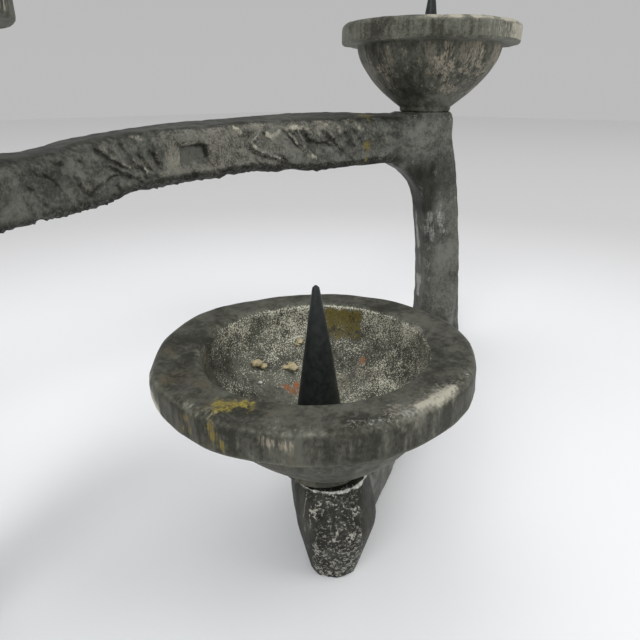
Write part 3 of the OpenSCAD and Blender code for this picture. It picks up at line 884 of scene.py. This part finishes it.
# The crests are partly rubbed metal and partly painted highlight.
crests = bright * (0.79 + 0.42 * noise_at(co, 0.0018, 46, 2)) * (1 - 0.45 * drop)
rubbed = np.maximum(rubbed * (1 - 0.9 * recess), crests)
rubbed = np.maximum(rubbed, front * below_band * 0.16 * (1 - recess))
print("rubbed on average over the front:", np.round(rubbed[front > 0.5].mean(), 2))

# %% Grime and painted shade on the beam
# Hollows are darker; painted shadow falls in the strips beside the fold steps, along the shadowed hollows and
# in the recess.
grime = np.maximum(step_between(0.04, 0.25, -stand_out) * 0.5, drop * 0.35)
grime = np.maximum(np.maximum(grime, dark), front * recess * 0.35)
# Painted shade along the lower edge and on faces that turn up; faces that turn down are darker too.
low_edge = (step_between(-5.9, -6.9, above + 0.6 * noise_at(co, 0.004, 43, 2))
            * step_between(-52, -20, mm[:, 0]))
underside = np.maximum(step_between(0.1, -0.5, out[:, 2]), low_edge)
grime = np.maximum(grime, on_beam * np.maximum(underside, step_between(0.3, 0.8, out[:, 2]) * 0.7))
print("grime on average over the beam:", np.round(grime[on_beam > 0.5].mean(), 2))

# %% The stub's flaked face, filed lip and facets; its faces towards the viewer darkened
TO_FRONT_RIGHT = np.array([0.66, -0.75])
SLIGHTLY_UP = np.array([0, 0, 0.1])
stub_face = near_stub * step_between(-0.35, 0.25, out @ (TO_THE_VIEWER + SLIGHTLY_UP)) * (z_mm < 29.5)
sideways = (mm[:, :2] - axis) @ TO_FRONT_RIGHT
side_flats = stub_face * np.maximum(step_between(5.5, 8.0, sideways), step_between(-5.0, -7.0, sideways))
tilted = step_between(0.30, 0.50, out[:, 2]) * step_between(0.92, 0.80, out[:, 2])
stub_lip = near_stub * (z_mm > 27.6) * tilted * step_between(8.4, 9.4, from_axis)
flaked = stub_face * (0.66 + 0.16 * noise_at(co, 0.007, 41, 2)) * (1 - 0.75 * side_flats)
facet_edges = np.maximum(step_between(0.9, 0.3, np.abs(sideways + 5.2)),
                         step_between(0.9, 0.3, np.abs(sideways - 5.6)))
facets = near_stub * step_between(25, 22, z_mm) * facet_edges * stub_face
worn = np.maximum(worn, flaked)
worn = np.maximum(worn, facets * (0.55 + 0.3 * noise_at(co, 0.004, 47, 2)))
# The faces towards the viewer are darkened almost to the grime colour: partly the dark scale of the filed
# face, partly painted shade against the key lamp.
grime = np.maximum(grime, stub_face * (0.97 - 0.15 * side_flats) * (1 - stub_lip))
print("points on the filed lip:", int((stub_lip > 0.5).sum()))

# %% The legs: a little darker, most towards the top, with painted shade on the right leg's left side and in the bend
leg = step_between(84, 100, np.abs(mm[:, 0])) * step_between(96, 86, z_mm)
grime = np.maximum(grime, leg * (0.10 + 0.14 * step_between(50, 62, z_mm)))
to_front_right = mm[:, :2] @ TO_FRONT_RIGHT
# Painted shade on the right leg's left side and in its inner bend, which turn away from the light.
left_side = step_between(59.5, 55.5, to_front_right) * (mm[:, 0] > 0)
grime = np.maximum(grime, leg * 0.48 * left_side)
bend = (step_between(58.5, 53.5, to_front_right) * step_between(37, 44, to_front_right)
        * step_between(60, 70, z_mm) * step_between(97, 87, z_mm) * (mm[:, 0] > 80))
grime = np.maximum(grime, bend * 0.97)
streak = np.maximum(leg * 0.55, side_flats * 0.9)
print("points on the legs:", int((leg > 0.5).sum()))

# %% Keep the wear and painted light, and let the casting stand for its packed node
store_marks(casting.data, co, {"worn": worn, "grime": grime * (1 - stub_lip), "streak": streak,
                               "rubbed": rubbed, "lip": stub_lip})
casting.data.materials.append(frame_iron)
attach(casting, "root")
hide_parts("frame_casting")
print("wear kept on", len(co), "points of the casting")

# %% [markdown]
# ## The cups: one outline, spun
# All three cups come from one pattern: a foot, a deep bowl, a flat rim with a thick band and a
# hole for the spike's shank. Such a turned shape is its half outline, spun once round. The outline
# is cut into even steps first, so that the spun faces are even too and can be pushed in and out.

# %% The cup's sizes in mm, and its half outline
CUP_R, CUP_H, MOUTH_R, FOOT_R, HOLE_R, FLOOR = 37.5, 33.5, 27.0, 11.1, 3.3, 9.5
RIM_UNDER, BOWL_R, PAD_R, FOOT_INNER_R = 25.5, 30.8, 7.6, 8.8
RIM_EDGE, MOUTH_EDGE, UNDER_EDGE, FOOT_EDGE = 2.2, 1.6, 1.0, 0.4


def arc(x, y, r, start, stop, steps=6):
    turns = np.radians(np.linspace(start, stop, steps))
    return [(x + r * math.cos(t), y + r * math.sin(t)) for t in turns]


def cup_outline(skirt, foot):
    """The cup's half section as (radius, height) in mm, from the foot round to the hole.

    The skirt is how far the foot's edge reaches down round the washer, the foot where the bowl starts.
    """
    t = np.linspace(0, 1, 30)
    outside = list(zip(FOOT_R + (BOWL_R - FOOT_R) * (1 - (1 - t) ** 1.8), foot + (RIM_UNDER - foot) * t))
    s = np.linspace(1, 0, 40)
    inside = list(zip(PAD_R + (MOUTH_R - PAD_R) * (1 - (1 - s) ** 2.8),
                      FLOOR + (CUP_H - MOUTH_EDGE - FLOOR) * s))
    foot_line = [(HOLE_R, 0), (FOOT_INNER_R, 0), (FOOT_INNER_R, -skirt), (FOOT_R - FOOT_EDGE, -skirt),
                 (FOOT_R, FOOT_EDGE - skirt)]
    rim_line = (arc(CUP_R - UNDER_EDGE, RIM_UNDER + UNDER_EDGE, UNDER_EDGE, -90, 0)
                + arc(CUP_R - RIM_EDGE, CUP_H - RIM_EDGE, RIM_EDGE, 0, 90, 10)
                + arc(MOUTH_R + MOUTH_EDGE, CUP_H - MOUTH_EDGE, MOUTH_EDGE, 90, 180, 8))
    return foot_line + outside + rim_line + inside + [(HOLE_R, FLOOR)]


print("cup outline points:", len(cup_outline(0.0, 2.0)))


# %% Even steps, and the spin
def even_steps(line, gap):
    """The same closed outline, cut into steps of about gap."""
    p = np.array(line + line[:1])
    lengths = np.r_[0, np.cumsum(np.hypot(*np.diff(p, axis=0).T))]
    at = np.linspace(0, lengths[-1], int(lengths[-1] / gap), endpoint=False)
    return np.stack([np.interp(at, lengths, p[:, k]) for k in range(2)], axis=1)


def spun(name, outline, steps):
    """A mesh from a closed outline of (radius, height) in mm, spun round Z."""
    work = bmesh.new()
    ring = [work.verts.new((r * MM, 0, h * MM)) for r, h in outline]
    edges = [work.edges.new((ring[k], ring[(k + 1) % len(ring)])) for k in range(len(ring))]
    bmesh.ops.spin(work, geom=ring + edges, cent=(0, 0, 0), axis=(0, 0, 1), angle=2 * math.pi,
                   steps=steps, use_merge=True)
    bmesh.ops.recalc_face_normals(work, faces=work.faces)
    mesh = bpy.data.meshes.new(name)
    work.to_mesh(mesh)
    work.free()
    smooth_all(mesh)
    return mesh


CUP_STEP, CUP_SPINS = 0.75, 264
print("points round one cup's section:", len(even_steps(cup_outline(0.0, 2.0), CUP_STEP)))

# %% Seats: the low one leans a little
LEAN_ANGLE, LEAN_TURN = math.radians(1.5), math.radians(131)
WASHER_H = 1.0
LEAN = Matrix.Rotation(LEAN_ANGLE, 4, Vector((-math.sin(LEAN_TURN), math.cos(LEAN_TURN), 0)))
SEATS = {seat: Matrix.Translation(Vector(point) * MM) for seat, point in SEAT_POINTS.items()}
SEATS["low"] = SEATS["low"] @ LEAN


def put(mesh, seat, lift):
    """Moves a mesh built on its own axis to a seat, lift mm above the seat's face."""
    mesh.transform(SEATS[seat] @ Matrix.Translation((0, 0, lift * MM)))


def new_piece(name, data):
    """Puts a mesh, lamp or camera into the scene under a name."""
    piece = bpy.data.objects.new(name, data)
    bpy.context.scene.collection.objects.link(piece)
    return piece


print("the low seat leans by", round(math.degrees(LEAN_ANGLE), 1), "degrees")

# %% [markdown]
# ## The cups: out of true
# No two castings from a pattern are alike. Noise makes the high cups differ, and the low cup,
# which the eye is closest to, also has a wider back, a lump on its band and a slimmer foot. The
# pushes are worked out from each point's radius, height and turn round the cup's own axis, so
# they are made before the cup is moved to its seat.

# %% Where each point of a cup lies
def bell(turn, middle, width):
    """1 at one turn round the cup, in degrees, and less on both sides of it."""
    return np.exp(-((((turn - middle + 180) % 360 - 180) / width) ** 2))


def measured(mesh, number):
    """A cup's points with their radius, height and turn, and places of its own in the noise."""
    local, out = points_of(mesh), normals_of(mesh)
    cup = SimpleNamespace(mesh=mesh, local=local, out=out, shift=local + 0.5 * (number + 1))
    cup.r, cup.h = np.hypot(local[:, 0], local[:, 1]) / MM, local[:, 2] / MM
    cup.turn = np.degrees(np.arctan2(local[:, 1], local[:, 0])) % 360
    cup.in_bowl = (cup.h > FLOOR - 0.2) & (cup.r < MOUTH_R + 0.3) & (out[:, 2] > -0.2)
    cup.free = step_between(8.0, 14.0, cup.r)
    return cup


def cast_unevenness(cup):
    """Wide and fine unevenness in mm, finer in the bowl and drawn along the band."""
    push = (0.20 * noise_at(cup.shift, 0.016, 51, 3) + 0.06 * noise_at(cup.shift, 0.0035, 52, 2)) * cup.free
    push += cup.in_bowl * cup.free * 0.10 * noise_at(cup.shift, 0.002, 53, 2)
    along_band = cup.shift * np.array([1, 1, 0.4])
    return push + step_between(33.5, 36.0, cup.r) * 0.22 * noise_at(along_band, 0.009, 54, 2)


print("a bell 36 degrees wide, 36 degrees off its middle:", np.round(bell(np.array([36.0]), 0, 36)[0], 2))

# %% The low cup alone: out of round, with a film of old wax in its bowl
TO_THE_LEFT = np.array([-0.66, 0.75, 0.0])
FILM_THICKNESS = 0.12


def low_cup_bumps(cup):
    bulge = 1.3 * bell(cup.turn, 108, 36) * step_between(24, 33, cup.r)
    lump = 1.1 * bell(cup.turn, 152, 9) * step_between(34.5, 37, cup.r) * step_between(24, 29, cup.h)
    slim = 1.1 * bell(cup.turn, 165, 45) * step_between(12, 16, cup.r)
    return bulge + lump - slim * (cup.h < RIM_UNDER) * (cup.out[:, 2] < 0.1)


def slide_low_cup(cup):
    """Slides the low cup's rim to the left and widens its mouth towards the back."""
    slide = (-0.6 + 1.2 * step_between(3, 27, cup.h)) * step_between(4, 9, cup.r)
    widen = bell(cup.turn, 50, 52) * step_between(16, 26, cup.r) * step_between(14, 26, cup.h)
    widen *= 1.0 + 0.9 * step_between(31.5, 29.0, cup.r)
    outward = np.stack([np.cos(np.radians(cup.turn)), np.sin(np.radians(cup.turn)), 0 * cup.turn], axis=1)
    cup.local += TO_THE_LEFT * (slide * MM)[:, None] + outward * (widen * MM)[:, None]


def wax_film(cup):
    ragged_turn = cup.turn + 1.4 * noise_at(cup.shift, 0.003, 63, 2)
    ragged_h = cup.h + 0.5 * noise_at(cup.shift, 0.0026, 64, 2)
    return (step_between(12.5, 15, ragged_turn) * step_between(38.5, 36.5, ragged_turn)
            * step_between(22.6, 24.6, ragged_h) * step_between(32.3, 31.6, ragged_h) * cup.in_bowl)


print("film of old wax:", FILM_THICKNESS, "mm thick")

# %% Shape three cups and set them on their seats
WAX_THICKNESS = 0.35
# How far each foot's edge reaches down round its washer, and the height where its bowl starts, in mm
CUP_OUTLINES = {"low": (0.05, 2.0), "right": (0.98, 0.8), "left": (0.98, 0.8)}
cups = {}
for number, (seat, feet) in enumerate(CUP_OUTLINES.items()):
    mesh = spun(seat + "_cup_skin", even_steps(cup_outline(*feet), CUP_STEP), CUP_SPINS)
    cup = measured(mesh, number)
    push = cast_unevenness(cup)
    if seat == "low":
        cup.film = wax_film(cup)
        push += low_cup_bumps(cup) + cup.film * FILM_THICKNESS
        slide_low_cup(cup)
    set_points(mesh, cup.local + cup.out * (push * MM)[:, None])
    cup.stand_out = ridge_of(mesh)
    put(mesh, seat, WASHER_H)
    cup.co = np.clip(points_of(mesh), box_low, box_high)
    if seat == "low":
        cup.co += cup.out * (mark_amount(cup.co, "wax") * WAX_THICKNESS * MM)[:, None]
        cup.co = np.clip(cup.co, box_low, box_high)
    set_points(mesh, cup.co)
    cups[seat] = cup
    print(seat, "cup:", len(cup.co), "points, pushed by", np.round([push.min(), push.max()], 2), "mm")

# %% [markdown]
# ## The cups: sand, soot, polish and painted light
# Candle soot and dust have left the bowls sandy. The low cup's rim is dark and oily with traces of
# wax, its top darkened further with painted shade, and the high cups' bands are polished by hands,
# with painted highlights on their right ends and top edges. Shade under the rims is painted too.
# Each of these is an area of the cup, so it is a mask of radius, height and turn, broken up by
# noise, rather than a painted image.

# %% Wear that all three cups share
def shared_wear(cup):
    """Edges worn, hollows and the foot darker, faces that turn up given painted shade, the bowl sandy;
    returns the areas by kind.
    """
    cup.clouds = noise_at(cup.shift, 0.010, 55, 3)
    cup.mottled = step_between(-0.05, 0.55, noise_at(cup.shift * np.array([1, 1, 0.5]), 0.0075, 58, 3))
    depth = step_between(CUP_H, FLOOR, cup.h)
    sand = 0.39 + 0.30 * cup.clouds + 0.28 * bell(cup.turn, 25, 60) * (1 - 0.5 * depth)
    sand += 0.40 * bell(cup.turn, 50, 60) * step_between(22, 29, cup.h) + 0.22 * bell(cup.turn, 330, 50)
    sand -= 0.06 * bell(cup.turn, 120, 40) * (1 - depth)
    side = step_between(0.55, 0.1, np.abs(cup.out[:, 2]))
    below_rim = (step_between(25.6, 24.8, cup.h) * step_between(0.3, 0.0, cup.out[:, 2])
                 * step_between(6, 9, cup.r))
    cup.outside = (~cup.in_bowl) * np.maximum(side, below_rim)
    scattered = 0.4 + 0.6 * step_between(-0.2, 0.6, noise_at(cup.shift, 0.012, 57, 2))
    at_foot = step_between(6, 1, cup.h) * (cup.r > 6)
    # Painted shade on faces that turn up, outside the bowl.
    on_top = step_between(0.6, 0.95, cup.out[:, 2]) * (~cup.in_bowl)
    grime = np.maximum(step_between(0.06, 0.30, -cup.stand_out), at_foot) * 0.5
    grime = np.maximum(grime, on_top * 0.42)
    return {"sand": cup.in_bowl * sand, "worn": step_between(0.10, 0.30, cup.stand_out) * 0.35 * scattered,
            "grime": grime, "streak": cup.outside}


low_areas = shared_wear(cups["low"])
print("sand in the low bowl on average:", np.round(low_areas["sand"][cups["low"].in_bowl].mean(), 2))


# %% The low cup: dark band, painted shade below its rim, painted sheen on its front edge, rubbed lip, dark bowl on the left
def low_cup_wear(cup, areas):
    turn, bowl = cup.turn, cup.in_bowl
    band = (~bowl) * step_between(35.0, 36.5, cup.r) * step_between(0.6, 0.3, np.abs(cup.out[:, 2]))
    dark_bowl = bowl * 0.30 * bell(turn, 150, 70) * (0.7 + 0.5 * cup.clouds).clip(0, 1)
    # The band is darkened, and the outside below the rim gets painted shade.
    for dark in (band * 0.52, cup.outside * step_between(26, 24, cup.h) * 0.35, dark_bowl):
        areas["grime"] = np.maximum(areas["grime"], dark)
    # A painted sheen along the front of the rim's outer edge.
    edge = step_between(35.0, 35.8, cup.r) * step_between(37.4, 36.8, cup.r) * step_between(31.6, 32.4, cup.h)
    round_the_rim = np.stack([np.radians(turn) * 0.036, cup.r * MM * 2, cup.h * MM], axis=1)
    broken = noise_at(round_the_rim, 0.009, 65, 3)
    in_front = step_between(165, 185, turn) * step_between(262, 250, turn)
    areas["frosted"] = edge * (0.28 + 0.35 * broken) * in_front
    lip_line = (step_between(27.5, 29.5, cup.h) * (bowl | (cup.r < MOUTH_R + 2.0))
                * step_between(MOUTH_R + 2.2, MOUTH_R + 0.5, cup.r))
    lip_ends = bell(turn, 130, 38) + bell(turn, 330, 42)
    areas["rubbed"] = np.maximum(cup.outside * 0.10, lip_line * lip_ends * (0.30 + 0.40 * broken))
    areas["sand"] = areas["sand"] * (1 - 0.55 * cup.film) - bowl * 0.10 * bell(turn, 165, 60)
    areas["olive"] = cup.film * (0.62 + 0.3 * step_between(25, 31, cup.h))
    brown_rim = (~bowl) * cup.mottled * 0.35 * step_between(60, 120, turn) * step_between(260, 200, turn)
    areas["brown"] = np.maximum(brown_rim, bowl * 0.38 * bell(turn, 330, 60) * cup.mottled)


low_cup_wear(cups["low"], low_areas)
print("kinds of wear on the low cup:", ", ".join(low_areas))


# %% The high cups: polished band with painted highlights, pale dust below it, painted shade low on the bowl
def high_cup_wear(cup, areas):
    turn, squeezed = cup.turn, cup.shift * np.array([1, 1, 0.45])
    # The band's bright right end is partly polish and partly a painted highlight.
    right_band = step_between(218, 276, turn) * step_between(335, 300, turn) * step_between(35.5, 36.5, cup.r)
    right_half = 0.38 + 0.62 * step_between(215, 240, turn) * step_between(330, 300, turn)
    areas["worn"] = np.maximum(areas["worn"], right_band * step_between(31.5, 33, cup.h) * 0.6)
    below = cup.outside * step_between(26, 24, cup.h) * step_between(4, 8, cup.h)
    low_middle = bell(turn, 195, 30) * step_between(19, 9, cup.h) + step_between(9, 5, cup.h)
    dusty = step_between(-0.3, 0.4, noise_at(squeezed, 0.006, 68, 3)) * (0.55 + 0.25 * right_half)
    areas["dun"] = below * dusty * (1 - 0.7 * low_middle.clip(0, 1))
    areas["pink"] = below * cup.mottled * 0.62 * right_half
    areas["brass"] = cup.outside * right_band * (0.42 + 0.58 * step_between(262, 282, turn))
    # A painted highlight along the rim's top edge.
    top_edge = (step_between(34.4, 35.4, cup.r) * step_between(31.4, 32.4, cup.h)
                * step_between(195, 215, turn) * step_between(320, 300, turn))
    rubbed = np.maximum(below * 0.22 * right_half, cup.outside * right_band * 0.4)
    areas["rubbed"] = np.maximum(rubbed, top_edge * (0.85 + 0.4 * noise_at(cup.shift, 0.003, 67, 2)))
    # Dark streaks of dirt, and painted shade under the rim, strongest in the lower middle and at the foot.
    dark_streaks = step_between(0.05, 0.5, noise_at(cup.shift * np.array([1, 1, 0.3]), 0.006, 66, 2))
    darkened = np.maximum(0.30 + 0.5 * low_middle, dark_streaks * 0.65).clip(0, 0.9)
    areas["grime"] = np.maximum(areas["grime"] * 0.6, below * darkened)


high_areas = {seat: shared_wear(cups[seat]) for seat in ("right", "left")}
for seat, areas in high_areas.items():
    high_cup_wear(cups[seat], areas)
print("kinds of wear on the high cups:", ", ".join(high_areas["right"]))

# %% Keep the wear and painted light, and let the cups stand for their packed nodes
for seat, areas in {"low": low_areas, **high_areas}.items():
    mesh = cups[seat].mesh
    store_marks(mesh, cups[seat].co, areas)
    mesh.materials.append(cup_iron)
    cup = new_piece(seat + "_cup_skin", mesh)
    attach(cup, "root")
    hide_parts(seat + "_cup")
    print(cup.name, "has", len(mesh.polygons), "faces")

# %% [markdown]
# ## Spikes and washers
# Each spike is a blunt forged thorn with a shank that goes down through cup and washer into the
# casting. It is round, so it is spun like a cup. A hammered thorn isn't quite even, so slight
# dents are drawn along it, and its foot stays true where it sits on the pad. The washers can
# hardly be seen, and their packed meshes only get their paint.

# %% The spike's half outline, in mm
SPIKE_R, SPIKE_H, TIP_R, SHANK_R, SHANK_LEN, SHANK_EDGE = 6.4, 39.0, 0.8, 3.0, 22.5, 0.7
ON_AXIS = 0.02
t = np.linspace(0, 1, 50)
shank = [(ON_AXIS, -SHANK_LEN), (SHANK_R - SHANK_EDGE, -SHANK_LEN), (SHANK_R, -SHANK_LEN + SHANK_EDGE),
         (SHANK_R, 0)]
thorn = list(zip(TIP_R + (SPIKE_R - TIP_R) * (1 - t) ** 0.9, (SPIKE_H - TIP_R) * t))
tip = arc(ON_AXIS, SPIKE_H - TIP_R, TIP_R - ON_AXIS, 0, 90, 8)
SPIKE_STEP, SPIKE_SPINS = 0.7, 64
spike_outline = even_steps(shank + thorn + tip, SPIKE_STEP)
print("spike outline points:", len(spike_outline))

# %% Three dented spikes, and the washers' paint
for number, seat in enumerate(("low", "right", "left")):
    mesh = spun(seat + "_spike_skin", spike_outline, SPIKE_SPINS)
    local = points_of(mesh)
    shift = local + 0.4 * (number + 1)
    dents = 0.14 * noise_at(shift * np.array([1, 1, 0.35]), 0.006, 61, 2)
    dents += 0.04 * noise_at(shift, 0.002, 62, 2)
    push = step_between(1.0, 5.0, local[:, 2] / MM) * dents
    set_points(mesh, local + normals_of(mesh) * (push * MM)[:, None])
    put(mesh, seat, WASHER_H + FLOOR)
    set_points(mesh, np.clip(points_of(mesh), box_low, box_high))
    mesh.materials.append(spike_steel)
    spike = new_piece(seat + "_spike_skin", mesh)
    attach(spike, "root")
    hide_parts(seat + "_spike")
    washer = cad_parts[seat + "_washer"]
    washer.data.materials.clear()
    washer.data.materials.append(washer_steel)
    print(seat, "spike top in mm:", np.round(points_of(mesh)[:, 2].max() / MM, 1))

# %% [markdown]
# ## Crumbs of old wax
# Some crumbs of old wax lie in the low bowl, one of them fresh and white. They are dirt, so they
# exist in this model alone. Each is a small flattened ball that noise makes irregular, and one
# mesh holds them all.

# %% Crumbs: a point and a size in mm
WHITE_X, WHITE_Y, WHITE_REACH = -35.9, -13.8, 0.7
CRUMBS = [
    (-24.4, -14.8, 47.3, 1.6), (-25.8, -13.9, 47.5, 1.1), (-33.0, -9.8, 50.0, 1.3), (-32.0, -10.9, 49.1, 0.9),
    (-19.4, -13.3, 53.0, 1.0), (WHITE_X, WHITE_Y, 46.5, 0.45), (-20.4, -12.9, 52.4, 0.7),
]
FLATTENED = (1.0, 1.2, 0.55)
crumbs = bmesh.new()
for x, y, z, size in CRUMBS:
    made = bmesh.ops.create_icosphere(crumbs, subdivisions=3, radius=size * MM)
    bmesh.ops.scale(crumbs, verts=made["verts"], vec=FLATTENED)
    bmesh.ops.translate(crumbs, verts=made["verts"], vec=Vector((x, y, z)) * MM)
mesh = bpy.data.meshes.new("wax_crumbs")
crumbs.to_mesh(mesh)
crumbs.free()
co = points_of(mesh)
set_points(mesh, co + normals_of(mesh) * (0.55 * MM * noise_at(co, 0.0014, 71, 3))[:, None])
smooth_all(mesh)
print("crumbs:", len(CRUMBS))

# %% Wax colours, and the crumbs' ride
mesh.materials.append(old_wax)
mesh.materials.append(white_wax)
for face in mesh.polygons:
    from_white = (abs(face.center.x / MM - WHITE_X), abs(face.center.y / MM - WHITE_Y))
    face.material_index = int(max(from_white) < WHITE_REACH)
wax = new_piece("wax_crumbs", mesh)
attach(wax, "root")
print("white faces:", sum(face.material_index for face in mesh.polygons))

# %% [markdown]
# ## Floor
# The candlestick stands on a matt pale floor. The floor is lightest near it and greyer far away,
# where it meets the background, so the horizon hardly shows. A lamp could make the middle
# brighter, but here the colour does it, so the light on the object stays plain.

# %% A pale floor
FLOOR_WIDTH = 6.0
NEAR_COLOUR, FAR_COLOUR = (0.87, 0.88, 0.895, 1), (0.56, 0.56, 0.56, 1)
bpy.ops.mesh.primitive_plane_add(size=FLOOR_WIDTH, location=(0, 0, 0))
floor = bpy.context.object
floor.name = "floor"
floor_paint, nodes, shader = new_material("floor_paint")
place = nodes.add("ShaderNodeTexCoord").outputs["Object"]
reach = nodes.add("ShaderNodeVectorMath", {0: place}, operation="LENGTH").outputs["Value"]
nodes.feed(shader.inputs["Base Color"], nodes.mixed(nodes.ramp(reach, 0.06, 0.50), NEAR_COLOUR, FAR_COLOUR))
nodes.feed(shader.inputs["Roughness"], 0.9)
floor.data.materials.append(floor_paint)
print("floor is", floor.dimensions.x, "m wide")

# %% [markdown]
# ## Light
# Three large soft lamps stand round the candlestick as in a plain studio: two at the sides of the
# viewer and one above. The world adds an even glow. What the camera, a reflection or clear glass
# sees of it is a plain grey of its own, so the background never lights the object.

# %% Three soft lamps
MIDDLE = (0.0, 0.0, 0.06)
LAMPS = (
    ("key", (0.50, -1.10, 1.40), 0.80, 6.0, (1.0, 0.985, 0.95)),
    ("side", (-1.50, -0.50, 1.30), 1.00, 9.5, (0.97, 0.99, 1.0)),
    ("top", (-0.10, 0.60, 2.00), 1.40, 4.0, (1.0, 1.0, 1.0)),
)
for name, place, size, power, colour in LAMPS:
    data = bpy.data.lights.new(name, "AREA")
    data.shape, data.size, data.energy, data.color = "DISK", size, power, colour
    lamp = new_piece(name, data)
    lamp.location = place
    lamp.rotation_mode = "QUATERNION"
    lamp.rotation_quaternion = (Vector(MIDDLE) - Vector(place)).to_track_quat("-Z", "Y")

# %% The world's glow, and the background that is seen
world = bpy.data.worlds.new("studio")
bpy.context.scene.world = world
world.use_nodes = True
nodes = Nodes(world.node_tree)
direction = nodes.add("ShaderNodeTexCoord").outputs["Generated"]
upward = nodes.add("ShaderNodeSeparateXYZ", {0: direction}).outputs["Z"]
seen_colour = nodes.mixed(nodes.ramp(upward, 0.0, 0.35), (0.50, 0.50, 0.50, 1), (0.47, 0.472, 0.472, 1))
glow_colour = nodes.mixed(nodes.ramp(upward, 0.0, 0.8), (1.00, 1.00, 0.99, 1), (0.76, 0.76, 0.77, 1))
seen = nodes.add("ShaderNodeBackground", {"Color": seen_colour, "Strength": 1.0})
glow = nodes.add("ShaderNodeBackground", {"Color": glow_colour, "Strength": 1.0})
ray = nodes.add("ShaderNodeLightPath").outputs
is_seen = nodes.larger(ray["Is Camera Ray"], nodes.larger(ray["Is Glossy Ray"], ray["Is Transmission Ray"]))
both = nodes.add("ShaderNodeMixShader", {0: is_seen, 1: glow.outputs[0], 2: seen.outputs[0]})
nodes.feed(world.node_tree.nodes["World Output"].inputs["Surface"], both.outputs[0])
print("world nodes:", len(world.node_tree.nodes))

# %% [markdown]
# ## Camera
# The camera stands where one view makes both visible rims true circles of the same size, close
# to the low cup and a little above it. It could be placed by eye, but only the worked-out place
# gives every piece its right size in the picture.

# %% Camera
camera_data = bpy.data.cameras.new("camera")
camera_data.lens, camera_data.sensor_width = 31.5, 36.0
camera_data.clip_start, camera_data.clip_end = 0.01, 20.0
camera = new_piece("camera", camera_data)
camera.location = (-0.1261, -0.1149, 0.1190)
camera.rotation_euler = (math.radians(68.05), 0.0, math.radians(-48.64))
bpy.context.scene.camera = camera
bpy.context.scene.view_settings.view_transform = "Standard"
print("camera at", [round(x, 4) for x in camera.location])

# %% [markdown] ## Finish The dressed candlestick must be as large as the packed one.
